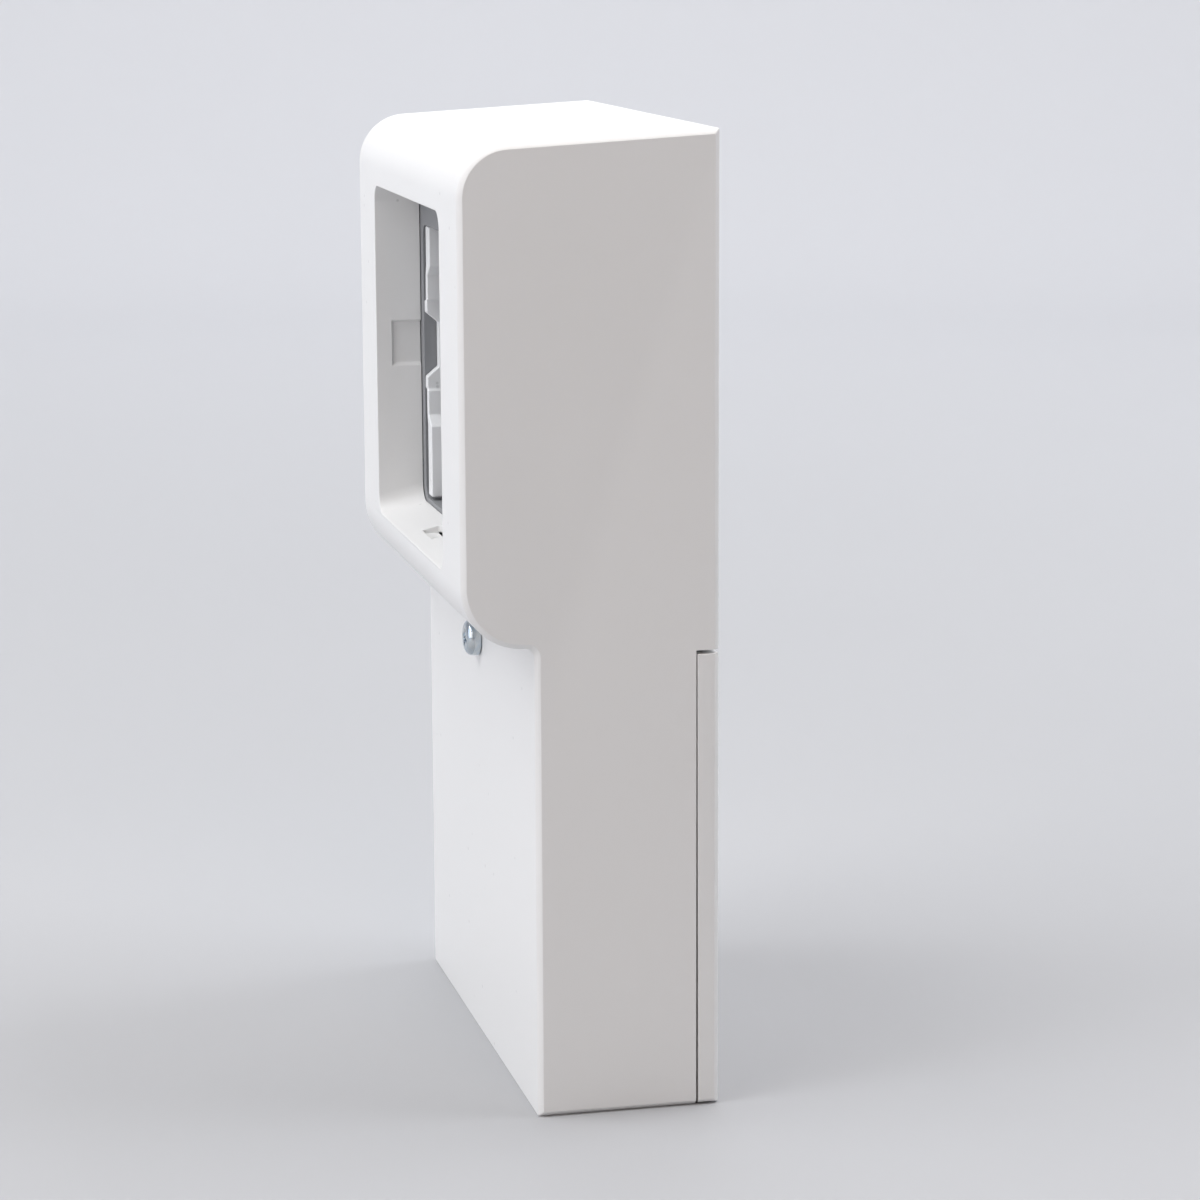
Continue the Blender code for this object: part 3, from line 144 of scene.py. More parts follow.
class Graph:
    """The node tree of one material, whose shader is a Principled BSDF."""

    def __init__(self, name: str) -> None:
        """Make an empty material of that name."""
        self.material = bpy.data.materials.new(name)
        self.material.use_nodes = True
        self.tree = self.material.node_tree
        self.shader = self.tree.nodes["Principled BSDF"]
        self.place = self.node("ShaderNodeTexCoord", {}, {}, 3)

    def node(
        self, kind: str, settings: dict[str, Any], inputs: dict[Any, Any], output: int = 0
    ) -> Value:
        """Add any other node.

        Args:
            kind: the node's type.
            settings: its properties, set first.
            inputs: values or links of its sockets, by name or number.
            output: the number of the socket that is returned.

        Returns:
            That output.
        """
        made = self.tree.nodes.new(kind)
        for key, setting in settings.items():
            setattr(made, key, setting)
        for key, given in inputs.items():
            if isinstance(given, Value):
                self.tree.links.new(given.socket, made.inputs[key])
            else:
                made.inputs[key].default_value = given
        return Value(self, made.outputs[output])

    def stretched(self, scale: Sequence[float]) -> Value:
        """Return the object's coordinates, scaled along each axis."""
        return self.node("ShaderNodeMapping", {}, {"Vector": self.place, "Scale": scale})

    def noise(
        self, size: float, detail: float = 3.0, stretch: Sequence[float] = (1, 1, 1)
    ) -> Value:
        """Return a noise from 0 to 1.

        Args:
            size: how wide its patches are, in millimetres.
            detail: its finer octaves.
            stretch: how much closer it lies along each axis.

        Returns:
            The noise.
        """
        scale = 1 / (size * MM)
        inputs = {"Vector": self.stretched(stretch), "Scale": scale, "Detail": detail}
        return self.node("ShaderNodeTexNoise", {}, inputs)

    def cells(self, size: float, output: int = 0, feature: str = "F1") -> Value:
        """Return a Voronoi output: 0 is the distance in cells, 1 is a colour for each cell.

        Args:
            size: how wide the cells are, in millimetres.
            output: the number of the output.
            feature: what the distance is measured to.

        Returns:
            That output.
        """
        inputs = {"Vector": self.place, "Scale": 1 / (size * MM)}
        return self.node("ShaderNodeTexVoronoi", {"feature": feature}, inputs, output)

    def flecks(self, spacing: float, radius: float, share: float) -> Value:
        """Return a mask of small round marks.

        Args:
            spacing: size of the cells that may hold one, in millimetres.
            radius: a mark's radius, in millimetres.
            share: the part of the cells that holds one.

        Returns:
            The mask, 1 in a mark.
        """
        chance = self.node("ShaderNodeSeparateColor", {}, {0: self.cells(spacing, 1)})
        near = self.cells(spacing).between(radius / spacing, 0.5 * radius / spacing)
        return near * (chance > 1 - share)

    def edges(self, low: float = 0.515, high: float = 0.56) -> Value:
        """Return a mask of the outer edges, along which the finishes paint a highlight."""
        bend = self.node("ShaderNodeNewGeometry", {}, {}, POINTINESS)
        return bend.between(low, high)

    def mix(self, share: Number, one: Any, two: Any) -> Value:
        """Return a colour that goes from one to two as share goes from 0 to 1.

        Args:
            share: how much of the second colour shows.
            one: the first colour, or a socket.
            two: the second colour, or a socket.

        Returns:
            The colour.
        """
        given = [(*c, 1.0) if isinstance(c, tuple) else c for c in (one, two)]
        settings = {"data_type": "RGBA"}
        return self.node("ShaderNodeMix", settings, {0: share, 6: given[0], 7: given[1]}, 2)

    def bump(self, height: Value, depth: float, strength: float = 1.0) -> None:
        """Feed the shader's Normal from a height that is depth millimetres tall at 1.

        Args:
            height: the height, from 0 to 1.
            depth: how tall 1 is, in millimetres.
            strength: how much of the bump shows.
        """
        inputs = {"Height": height, "Distance": depth * MM, "Strength": strength}
        self.feed("Normal", self.node("ShaderNodeBump", {}, inputs))

    def feed(self, name: str, given: Any) -> None:
        """Set or link one socket of the shader.

        Args:
            name: the socket's name.
            given: a value, or a socket to link.
        """
        if isinstance(given, Value):
            self.tree.links.new(given.socket, self.shader.inputs[name])
        else:
            self.shader.inputs[name].default_value = given


def shade(colour: Colour, factor: float) -> Colour:
    """Return a colour made lighter or darker."""
    return tuple(min(1.0, part * factor) for part in colour)


# Finishes.
@dataclass(frozen=True)
class Finish:
    """A named finish. Subclasses say how its material is made."""

    name: str
    colour: Colour
    roughness: float = 0.45

    def material(self) -> bpy.types.Material:
        """Return the finish's material, made on first use."""
        found = bpy.data.materials.get(f"look_{self.name}")
        if found:
            return found
        graph = Graph(f"look_{self.name}")
        self.paint(graph)
        return graph.material

    def paint(self, graph: Graph) -> None:
        """Fill in the shader of that graph."""
        raise NotImplementedError


@dataclass(frozen=True)
class Moulded(Finish):
    """Injection-moulded plastic with a spark-eroded grain, faint flow marks, a few specks and a
    painted highlight: its outer edges are coloured lighter.
    """

    grain: float = 0.35
    grain_depth: float = 0.012
    specks: float = 0.3
    coat: float = 0.0

    def paint(self, graph: Graph) -> None:
        """Fill in the shader."""
        flow = graph.noise(70.0, 2.0, (1.0, 1.0, 0.45))
        grain = graph.noise(self.grain, 2.0)
        specks = graph.flecks(7.0, 0.7, self.specks)
        edges = graph.edges()
        base = graph.mix(flow, shade(self.colour, 0.965), shade(self.colour, 1.02))
        # Painted highlight: the outer edges are coloured lighter, whatever the light.
        base = graph.mix(edges * 0.5, base, shade(self.colour, 1.06))
        base = graph.mix(specks * 0.55, base, shade(self.colour, 0.62))
        graph.feed("Base Color", base)
        roughness = self.roughness + 0.07 * (flow - 0.5) + 0.1 * (grain - 0.5) - 0.08 * edges
        graph.feed("Roughness", roughness)
        graph.feed("Coat Weight", self.coat)
        graph.feed("Coat Roughness", 0.25)
        graph.feed("IOR", PLASTIC_IOR)
        graph.bump(grain - 0.8 * specks + 2.0 * graph.noise(9.0, 1.0), self.grain_depth)


@dataclass(frozen=True)
class Sheet(Finish):
    """Galvanised sheet steel: spangle, white bloom and rolling marks."""

    spangle: float = 3.2

    def paint(self, graph: Graph) -> None:
        """Fill in the shader."""
        grains = graph.node("ShaderNodeSeparateColor", {}, {0: graph.cells(self.spangle, 1)})
        rolled = graph.noise(0.6, 2.0, (0.04, 1.0, 1.0))
        bloom = graph.noise(16.0).between(0.45, 0.75)
        base = graph.mix(grains, shade(self.colour, 0.92), shade(self.colour, 1.08))
        base = graph.mix(0.3 * bloom, base, shade(self.colour, 1.35))
        graph.feed("Base Color", base)
        graph.feed("Metallic", 1.0 - 0.25 * bloom)
        graph.feed("Roughness", self.roughness + 0.08 * (grains - 0.5) + 0.15 * bloom)
        graph.bump(rolled + 0.6 * grains, 0.006)


@dataclass(frozen=True)
class Plated(Finish):
    """Turned or plated metal with fine marks and a painted highlight: its edges are coloured
    brighter.
    """

    tint: Colour = (0.8, 0.8, 0.8)
    marks: float = 0.18

    def paint(self, graph: Graph) -> None:
        """Fill in the shader."""
        cloud = graph.noise(3.5, 3.0)
        marks = graph.noise(self.marks, 2.0, (1.0, 0.15, 1.0))
        edges = graph.edges(0.52, 0.6)
        base = graph.mix(cloud.between(0.3, 0.7), self.colour, self.tint)
        # Painted highlight: the rims are coloured brighter, whatever the light.
        base = graph.mix(edges * 0.6, base, shade(self.colour, 1.25))
        graph.feed("Base Color", base)
        graph.feed("Metallic", 1.0)
        graph.feed("Roughness", self.roughness + 0.14 * (cloud - 0.5) + 0.1 * (marks - 0.5))
        graph.bump(marks, 0.004)


@dataclass(frozen=True)
class Rubber(Finish):
    """Matt elastomer with a dusty bloom and a skin of fine pores."""

    def paint(self, graph: Graph) -> None:
        """Fill in the shader."""
        dust = graph.noise(6.0).between(0.45, 0.8)
        pores = graph.noise(0.25, 2.0)
        base = graph.mix(0.35 * dust, self.colour, shade(self.colour, 3.0))
        graph.feed("Base Color", base)
        graph.feed("Roughness", self.roughness + 0.12 * (pores - 0.5))
        graph.bump(pores, 0.02)


@dataclass(frozen=True)
class Laminate(Finish):
    """Circuit board: solder mask over copper tracks, with plated holes in rows."""

    copper: Colour = (0.10, 0.30, 0.13)
    tin: Colour = (0.75, 0.75, 0.72)
    pitch: float = 5.08

    def paint(self, graph: Graph) -> None:
        """Fill in the shader."""
        tracks = graph.cells(8.0, 0, "DISTANCE_TO_EDGE").between(0.06, 0.03)
        holes = self.hole_distance(graph).between(0.16, 0.13)
        base = graph.mix(0.75 * tracks, self.colour, self.copper)
        base = graph.mix(holes, base, self.tin)
        graph.feed("Base Color", base)
        graph.feed("Metallic", 0.8 * holes)
        graph.feed("Roughness", self.roughness - 0.2 * holes + 0.1 * graph.noise(2.0))
        graph.feed("Coat Weight", 0.4)
        graph.feed("Coat Roughness", 0.2)
        graph.bump(tracks + holes, 0.03)

    def hole_distance(self, graph: Graph) -> Value:
        """Return the distance from the nearest hole, in pitches."""
        away = []
        for axis in (0, 2):
            place = graph.node("ShaderNodeSeparateXYZ", {}, {0: graph.place}, axis)
            along = place / (self.pitch * MM)
            away.append(along.math("PINGPONG", along, 0.5))
        squares = away[0] * away[0] + away[1] * away[1]
        return squares.math("SQRT", squares)


@dataclass(frozen=True)
class Lens(Finish):
    """Frosted light guide."""

    def paint(self, graph: Graph) -> None:
        """Fill in the shader."""
        frost = graph.noise(0.4, 2.0)
        graph.feed("Base Color", graph.mix(frost, shade(self.colour, 0.9), self.colour))
        graph.feed("Roughness", self.roughness + 0.2 * (frost - 0.5))
        graph.feed("Transmission Weight", 0.35)
        graph.feed("IOR", PLASTIC_IOR)
        graph.bump(frost, 0.02)


class Finishes(Enum):
    """The finishes, under the names of the record's material slots."""

    white_plastic = Moulded("white_plastic", (0.80, 0.795, 0.785), 0.42)
    light_grey_plastic = Moulded("light_grey_plastic", (0.80, 0.805, 0.81), 0.4)
    dark_grey_plastic = Moulded("dark_grey_plastic", (0.245, 0.25, 0.26), 0.46, specks=0.05)
    black_plastic = Moulded("black_plastic", (0.022, 0.022, 0.024), 0.4, specks=0.05)
    component_blue = Moulded("component_blue", (0.05, 0.13, 0.32), 0.34, coat=0.3)
    lever_orange = Moulded("lever_orange", (0.8, 0.24, 0.035), 0.34, coat=0.3)
    galvanised_steel = Sheet("galvanised_steel", (0.56, 0.58, 0.6), 0.42)
    zinc_plated_steel = Plated("zinc_plated_steel", (0.44, 0.52, 0.6), 0.17, (0.6, 0.63, 0.64))
    brass = Plated("brass", (0.78, 0.58, 0.28), 0.26, (0.66, 0.45, 0.2))
    silver_contact = Plated("silver_contact", (0.82, 0.82, 0.8), 0.2, (0.68, 0.64, 0.56))
    spring_steel = Plated("spring_steel", (0.48, 0.48, 0.5), 0.28, (0.36, 0.36, 0.38))
    rubber = Rubber("rubber", (0.02, 0.02, 0.021), 0.75)
    circuit_board = Laminate("circuit_board", (0.018, 0.12, 0.05), 0.42)
    light_lens = Lens("light_lens", (0.8, 0.86, 0.86), 0.3)


# Shapes.
def arc(centre: Point, radius: float, start: float, end: float, steps: int) -> list[Point]:
    """Return points on an arc, from start to end in degrees.

    Args:
        centre: the arc's centre.
        radius: its radius.
        start: the angle of its first point.
        end: the angle of its last point.
        steps: straight pieces along it.

    Returns:
        The points, both ends included.
    """
    angles = [math.radians(start + (end - start) * step / steps) for step in range(steps + 1)]
    return [(centre[0] + radius * math.cos(a), centre[1] + radius * math.sin(a)) for a in angles]


def circle(centre: Point, radius: float, steps: int) -> list[Point]:
    """Return points round a full circle."""
    return arc(centre, radius, 0.0, 360.0 * (steps - 1) / steps, steps - 1)


def rounded(
    low_u: float, high_u: float, low_v: float, high_v: float, radius: float, steps: int
) -> list[Point]:
    """Return the outline of a rectangle with round corners.

    Args:
        low_u: its left side.
        high_u: its right side.
        low_v: its lower side.
        high_v: its upper side.
        radius: the corners' radius.
        steps: straight pieces in each corner.

    Returns:
        The points, going round once.
    """
    corners = (
        ((high_u - radius, low_v + radius), -90.0),
        ((high_u - radius, high_v - radius), 0.0),
        ((low_u + radius, high_v - radius), 90.0),
        ((low_u + radius, low_v + radius), 180.0),
    )
    return [
        point
        for centre, start in corners
        for point in arc(centre, radius, start, start + 90.0, steps)
    ]


class Axis(Enum):
    """The axis that an outline is drawn out along, and where its two coordinates go."""

    X = (1, 2, 0)
    Y = (0, 2, 1)
    Z = (0, 1, 2)

    def point(self, u: float, v: float, along: float) -> Vector:
        """Return the point at (u, v) of the outline, that far along the axis.

        Args:
            u: the outline's first coordinate.
            v: its second coordinate.
            along: the distance along the axis.

        Returns:
            The point.
        """
        made = Vector((0.0, 0.0, 0.0))
        for place, coordinate in zip(self.value, (u, v, along)):
            made[place] = coordinate
        return made


class Shape:
    """A closed mesh in millimetres, and what is cut from it or joined to it."""

    def __init__(self, rings: Sequence[Sequence[Sequence[float]]]) -> None:
        """Skin rings with equal point counts, and close the first and the last.

        Args:
            rings: points of each ring, in order round it.
        """
        self.mesh = bmesh.new()
        self.steps: list[tuple[str, "Shape"]] = []
        verts = [[self.mesh.verts.new(point) for point in ring] for ring in rings]
        self.mesh.faces.new(verts[0])
        self.mesh.faces.new(verts[-1][::-1])
        for one, two in zip(verts, verts[1:]):
            for index in range(len(one)):
                after = (index + 1) % len(one)
                self.mesh.faces.new((one[index], two[index], two[after], one[after]))
        bmesh.ops.recalc_face_normals(self.mesh, faces=self.mesh.faces)

    @classmethod
    def prism(cls, outline: Iterable[Point], axis: Axis, low: float, high: float) -> "Shape":
        """Return an outline drawn out along an axis.

        Args:
            outline: the outline's points.
            axis: the axis.
            low: where it starts on the axis.
            high: where it ends.

        Returns:
            The shape.
        """
        points = list(outline)
        return cls([[axis.point(u, v, along) for u, v in points] for along in (low, high)])

    @classmethod
    def box(cls, x: Point, y: Point, z: Point) -> "Shape":
        """Return a box from its two ends along each axis.

        Args:
            x: its ends along X.
            y: its ends along Y.
            z: its ends along Z.

        Returns:
            The shape.
        """
        corners = ((x[0], z[0]), (x[1], z[0]), (x[1], z[1]), (x[0], z[1]))
        return cls.prism(corners, Axis.Y, *sorted(y))

    @classmethod
    def turned(
        cls, axis: Axis, centre: Point, section: Iterable[Point], steps: int = 32
    ) -> "Shape":
        """Return a turned shape from its section, as (radius, along) points.

        Args:
            axis: the axis that it is turned about.
            centre: where that axis stands.
            section: its (radius, along) points.
            steps: points round it.

        Returns:
            The shape.
        """
        rings = [
            [axis.point(u, v, along) for u, v in circle(centre, radius, steps)]
            for radius, along in section
        ]
        return cls(rings)

    @classmethod
    def cylinder(
        cls, axis: Axis, centre: Point, radius: float, ends: Point, steps: int = 32
    ) -> "Shape":
        """Return a cylinder between two ends along an axis.

        Args:
            axis: its axis.
            centre: where that axis stands.
            radius: its radius.
            ends: where it starts and ends.
            steps: points round it.

        Returns:
            The shape.
        """
        return cls.turned(axis, centre, [(radius, ends[0]), (radius, ends[1])], steps)

    def bevelled(
        self, edges: Iterable[bmesh.types.BMEdge], width: float, segments: int, profile: float
    ) -> "Shape":
        """Round some of its edges now, before anything is cut. A profile of 0.5 is a full round.

        Args:
            edges: the edges.
            width: how far the rounding reaches, in millimetres.
            segments: faces across it.
            profile: its form, from hollow at 0 to square at 1.

        Returns:
            This shape.
        """
        bmesh.ops.bevel(
            self.mesh,
            geom=list(edges),
            offset=width,
            offset_type="OFFSET",
            segments=segments,
            profile=profile,
            affect="EDGES",
        )
        return self

    def cut(self, *others: "Shape") -> "Shape":
        """Cut other shapes from this one."""
        self.steps += [("DIFFERENCE", other) for other in others]
        return self

    def join(self, *others: "Shape") -> "Shape":
        """Join other shapes to this one."""
        self.steps += [("UNION", other) for other in others]
        return self

    def keep(self, other: "Shape") -> "Shape":
        """Keep only what lies in another shape."""
        self.steps.append(("INTERSECT", other))
        return self

    def made(self, name: str) -> bpy.types.Mesh:
        """Return the finished mesh, in metres.

        Args:
            name: the mesh's name.

        Returns:
            The mesh, with every step applied.
        """
        whole = self.object(name)
        helpers = []
        for operation, other in self.steps:
            helpers.append(other.object(f"{name}_step"))
            modifier = whole.modifiers.new("step", "BOOLEAN")
            modifier.operation = operation
            modifier.object = helpers[-1]
        graph = bpy.context.evaluated_depsgraph_get()
        mesh = bpy.data.meshes.new_from_object(whole.evaluated_get(graph))
        for used in (whole, *helpers):
            bpy.data.objects.remove(used)
        return mesh

    def object(self, name: str) -> bpy.types.Object:
        """Return an object that holds this shape before its steps.

        Args:
            name: the object's name.

        Returns:
            The object.
        """
        self.mesh.transform(Matrix.Scale(MM, 4))
        mesh = bpy.data.meshes.new(name)
        self.mesh.to_mesh(mesh)
        self.mesh.free()
        made = bpy.data.objects.new(name, mesh)
        bpy.context.scene.collection.objects.link(made)
        return made


def weigh_edges(mesh: bpy.types.Mesh, keep: Space, shortest: float) -> None:
    """Mark the edges that get rounded: the long sharp ones whose middle is outside a space.

    The other sharp edges are set to split the shading.

    Args:
        mesh: the mesh, in metres.
        keep: the space, as low and high along X, Y and Z in millimetres.
        shortest: the length under which an edge is left as it is, in millimetres.
    """
    mesh.attributes.new("bevel_weight_edge", "FLOAT", "EDGE")
    shape = bmesh.new()
    shape.from_mesh(mesh)
    layer = shape.edges.layers.float["bevel_weight_edge"]
    for edge in shape.edges:
        middle = (edge.verts[0].co + edge.verts[1].co) / (2 * MM)
        kept = all(low < part < high for part, (low, high) in zip(middle, keep))
        turn = edge.calc_face_angle(0.0)
        long = edge.calc_length() > shortest * MM
        edge[layer] = float(turn > SHARP and long and not kept)
        edge.smooth = turn < SMOOTH or edge[layer] > 0.0
    shape.to_mesh(mesh)
    shape.free()


def round_off(target: bpy.types.Object, width: float, segments: int, limit: str) -> None:
    """Round the edges and even out the normals.

    Args:
        target: the piece.
        width: the rounding, in millimetres.
        segments: faces across it.
        limit: WEIGHT to round only the marked edges, or ANGLE for every sharp one.
    """
    if width:
        edge = target.modifiers.new("edge", "BEVEL")
        edge.width = width * MM
        edge.segments = segments
        edge.limit_method = limit
        edge.angle_limit = SHARP
        edge.use_clamp_overlap = width < FINE
    normals = target.modifiers.new("normals", "WEIGHTED_NORMAL")
    normals.weight = 100
    normals.keep_sharp = True


@dataclass
class Piece:
    """One visible piece: what it is called, what it rides on and what it is finished in."""

    name: str
    finish: Finishes
    body: str = "enclosure"
    stands_for: tuple[str, ...] = ()
    edge: float = 0.3
    segments: int = 3
    keep_sharp: Space = ((0.0, 0.0), (0.0, 0.0), (0.0, 0.0))
    shortest: float = 0.0

    def build(self, shape: Shape) -> bpy.types.Object:
        """Make the piece's object from its shape.

        Args:
            shape: the shape, in millimetres.

        Returns:
            The object, riding on its body.
        """
        mesh = shape.made(self.name)
        mesh.materials.clear()
        mesh.materials.append(self.finish.value.material())
        mesh.shade_smooth()
        weigh_edges(mesh, self.keep_sharp, self.shortest)
        made = bpy.data.objects.new(self.name, mesh)
        bpy.context.scene.collection.objects.link(made)
        round_off(made, self.edge, self.segments, "WEIGHT")
        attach(made, self.body)
        if self.stands_for:
            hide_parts(*self.stands_for)
        log.info("piece %s: %d faces, rides on %s", self.name, len(mesh.polygons), self.body)
        return made


def node_box(name: str) -> tuple[list[float], list[float]]:
    """Return a CAD node's lowest and highest corner, in millimetres."""
    low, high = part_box(name)
    return [part / MM for part in low], [part / MM for part in high]


# Sub-assemblies.
@dataclass
class Enclosure:
    """White shell and the service cover on its column."""

    wall: float = 3.0
    column_depth: float = 57.8
    column_height: float = 148.4
    slope: float = math.radians(3.14)
    top_fillet: float = 16.1
    chin_fillet: float = 19.4
    neck_fillet: float = 2.6
    side_round: float = 1.65
    window: Triple = (58.4, 168.1, 278.5)
    window_fillet: float = 6.0
    recess_depth: float = 15.55
    recess_wall: float = 2.5
    floor_rise: float = 3.95
    scoop: Triple = (15.2, 1.1, 5.5)
    drain: Triple = (18.0, 6.0, 6.0)
    drain_floor: float = 0.4
    cover_depth: float = 7.3
    cover_top: float = 144.3
    slot_top: float = 145.4
    cover_skin: float = 2.6
    cover_lift: float = 0.6
    bridge: float = 3.4
    boss: float = 9.0
    ledge: float = 5.0
    base_height: float = 18.0
    small_head: float = 3.2
    boss_depth: float = 12.0
    boss_setback: float = 5.3
    standoff: Point = (6.0, 3.0)
    back_pilot: Triple = (1.8, 12.5, 4.7)
    panel_pilot: Point = (1.6, 9.0)
    insert_post: float = 6.2
    insert_holes: Point = (3.3, 4.5)
    drain_slit: tuple[Point, Point] = ((1.0, 7.8), (0.6, 1.8))
    drain_reach: float = 5.0
    tab: Point = (10.0, 2.6)
    ribs: tuple[float, ...] = (-60.0, -30.0, 0.0, 30.0, 60.0)
    rib: Triple = (0.7, 1.6, 136.0)
    rib_foot: float = 6.0
    half: float = field(init=False)
    front: float = field(init=False)
    rear: float = field(init=False)
    height: float = field(init=False)
    column_front: float = field(init=False)
    inside: float = field(init=False)
    seam: float = field(init=False)
    panel_front: float = field(init=False)

    def __post_init__(self) -> None:
        """Take the overall sizes from the frame."""
        low, high = node_box("shell")
        self.half, self.rear, self.height = high[0], high[1], high[2]
        self.front = low[1]
        self.column_front = self.rear - self.column_depth
        self.inside = self.half - self.wall
        self.seam = self.rear - self.cover_depth
        self.panel_front = self.front + self.recess_depth

    def outline(self, inset: float, rear: float, bottom: float) -> list[Point]:
        """Return the side view as (y, z) points, moved inwards by inset.

        Args:
            inset: how far inwards, in millimetres.
            rear: where the outline ends behind.
            bottom: where it ends below.

        Returns:
            The points.
        """
        neck = (self.column_front - self.neck_fillet, self.column_height - self.neck_fillet)
        chin = (self.front + self.chin_fillet, self.column_height + self.chin_fillet)
        fall, lean = math.tan(self.slope), math.cos(self.slope)
        brow_y = self.front + self.top_fillet
        brow = (brow_y, self.height - (self.rear - brow_y) * fall - self.top_fillet / lean)
        points = [(rear, bottom), (self.column_front + inset, bottom)]
        points += arc(neck, self.neck_fillet + inset, 0.0, 90.0, 8)
        points += arc(chin, self.chin_fillet - inset, 270.0, 180.0, 28)
        points += arc(brow, self.top_fillet - inset, 180.0, 90.0 + math.degrees(self.slope), 26)
        points.append((rear, self.height - (self.rear - rear) * fall - inset / lean))
        return points

    def whole(self) -> Shape:
        """Return the outer form with its round side edges."""
        shape = Shape.prism(self.outline(0.0, self.rear, 0.0), Axis.X, -self.half, self.half)
        ends = [face for face in shape.mesh.faces if abs(face.normal.x) > 0.9]
        edges = {edge for face in ends for edge in face.edges}
        return shape.bevelled(edges, self.side_round, 8, 0.3)

    def recess(self, grow: float, start: float, end: float) -> Shape:
        """Return the space behind the window, or its outer wall. Its floor rises inwards.

        Args:
            grow: how far it reaches past the window all round.
            start: where it starts along Y.
            end: where it ends along Y.

        Returns:
            The shape.
        """
        wide, low, high = self.window
        rings = []
        for y in (start, end):
            rise = self.floor_rise * (y - self.front) / self.recess_depth
            sides = (-wide - grow, wide + grow, low - grow + rise, high + grow)
            outline = rounded(*sides, self.window_fillet + grow, 10)
            rings.append([(x, y, z) for x, z in outline])
        return Shape(rings)

    def corners(self, name: str, count: int) -> list[Point]:
        """Return (x, z) of numbered screws, from the frame.

        Args:
            name: the screws' name without its number.
            count: how many there are.

        Returns:
            The places.
        """
        boxes = [node_box(f"{name}_{index}") for index in range(1, count + 1)]
        return [((low[0] + high[0]) / 2, (low[2] + high[2]) / 2) for low, high in boxes]

    def inner_posts(self) -> list[Shape]:
        """Return the bosses, standoffs and ledges that are moulded inside."""
        made = []
        head_half = self.boss / 2
        top = self.rear - self.boss_setback
        for x, z in self.corners("back_screw", 4):
            ends = (x - math.copysign(head_half, x), x + math.copysign(head_half + OVER, x))
            depth = (top - self.boss_depth, top)
            made.append(Shape.box(sorted(ends), depth, (z - head_half, z + head_half)))
        start = self.front + self.wall / 2
        for centre in self.corners("panel_screw", 4):
            ends = (start, self.panel_front - GAP)
            made.append(Shape.cylinder(Axis.Y, centre, self.small_head, ends, 20))
        low, high = node_box("power_board")
        start = self.column_front + self.wall / 2
        margin, radius = self.standoff
        for x in (low[0] + margin, high[0] - margin):
            for z in (low[2] + margin, high[2] - margin):
                made.append(Shape.cylinder(Axis.Y, (x, z), radius, (start, low[1] - GAP), 20))
        for side in (-1.0, 1.0):
            ends = sorted((side * (self.inside - self.ledge), side * (self.inside + self.wall / 2)))
            depth = (self.column_front + self.wall + self.ledge, self.seam - self.ledge)
            level = self.base_height - GAP
            made.append(Shape.box(ends, depth, (level - self.wall, level)))
        return made

    def shell(self) -> None:
        """Make the shell: head and column in one moulding, open at the rear and below."""
        low, high = node_box("screw_insert")
        screw = ((low[0] + high[0]) / 2, (low[2] + high[2]) / 2)
        inner = self.outline(self.wall, self.rear + self.wall, -self.wall)
        wide = 2 * self.half
        behind = (self.seam, self.rear + self.wall)
        shape = self.whole().cut(
            Shape.prism(inner, Axis.X, -self.inside, self.inside),
            Shape.box((-wide, wide), behind, (-self.wall, self.slot_top)),
        )
        reach = self.inside + OVER
        bridge = (self.rear - self.bridge, self.rear - 0.5)
        shape.join(Shape.box((-reach, reach), bridge, (self.slot_top, self.column_height)))
        start = self.front + self.wall / 2
        surround = self.recess(self.recess_wall, start, self.panel_front - GAP)
        shape.join(surround, *self.inner_posts())
        ends = (self.column_front + self.wall / 2, high[1] + GAP)
        shape.join(Shape.cylinder(Axis.Y, screw, self.insert_post, ends, 40))
        shape.cut(self.recess(0.0, self.front - OVER, self.panel_front + OVER))
        middle = (self.window[1] + self.floor_rise + self.window[2]) / 2
        tall, deep, back = self.scoop
        for side in (-1.0, 1.0):
            depth = (self.front + back, self.panel_front + OVER)
            foot, top = middle - tall / 2, middle + tall / 2
            near, far = side * (self.window[0] - OVER), side * (self.window[0] + deep)
            section = ((near, foot - OVER), (far, foot + deep), (far, top - GAP), (near, top + GAP))
            shape.cut(Shape.prism(section, Axis.Y, *depth))
        slot, back, length = self.drain
        start = self.front + back
        outline = rounded(-slot / 2, slot / 2, start, start + length, 1.2, 5)
        level, reach = self.window[1], self.drain_reach
        across, along = self.drain_slit
        slit = (start + along[0], start + along[1])
        shape.cut(
            Shape.prism(outline, Axis.Z, level + self.drain_floor, level + reach),
            Shape.box(across, slit, (level - reach, level + reach)),
        )
        for centre in self.corners("panel_screw", 4):
            radius, depth = self.panel_pilot
            ends = (self.panel_front - depth, self.panel_front)
            shape.cut(Shape.cylinder(Axis.Y, centre, radius, ends, 12))
        for centre in self.corners("back_screw", 4):
            radius, depth, near = self.back_pilot
            ends = (self.rear - depth, self.rear - near)
            shape.cut(Shape.cylinder(Axis.Y, centre, radius, ends, 12))
        column_inner = self.column_front + self.wall
        through, wider = self.insert_holes
        shape.cut(
            Shape.cylinder(Axis.Y, screw, through, (self.column_front - OVER, column_inner + OVER)),
            Shape.cylinder(Axis.Y, screw, wider, (column_inner, high[1] + 2 * OVER)),
        )
        within = self.inside - GAP
        hidden = ((-within, within), (self.panel_front - 2 * GAP, 36.0), (OVER, self.height - OVER))
        finish = Finishes.white_plastic
        piece = Piece("shell_moulding", finish, stands_for=("shell",), edge=0.35, keep_sharp=hidden)
        piece.build(shape)

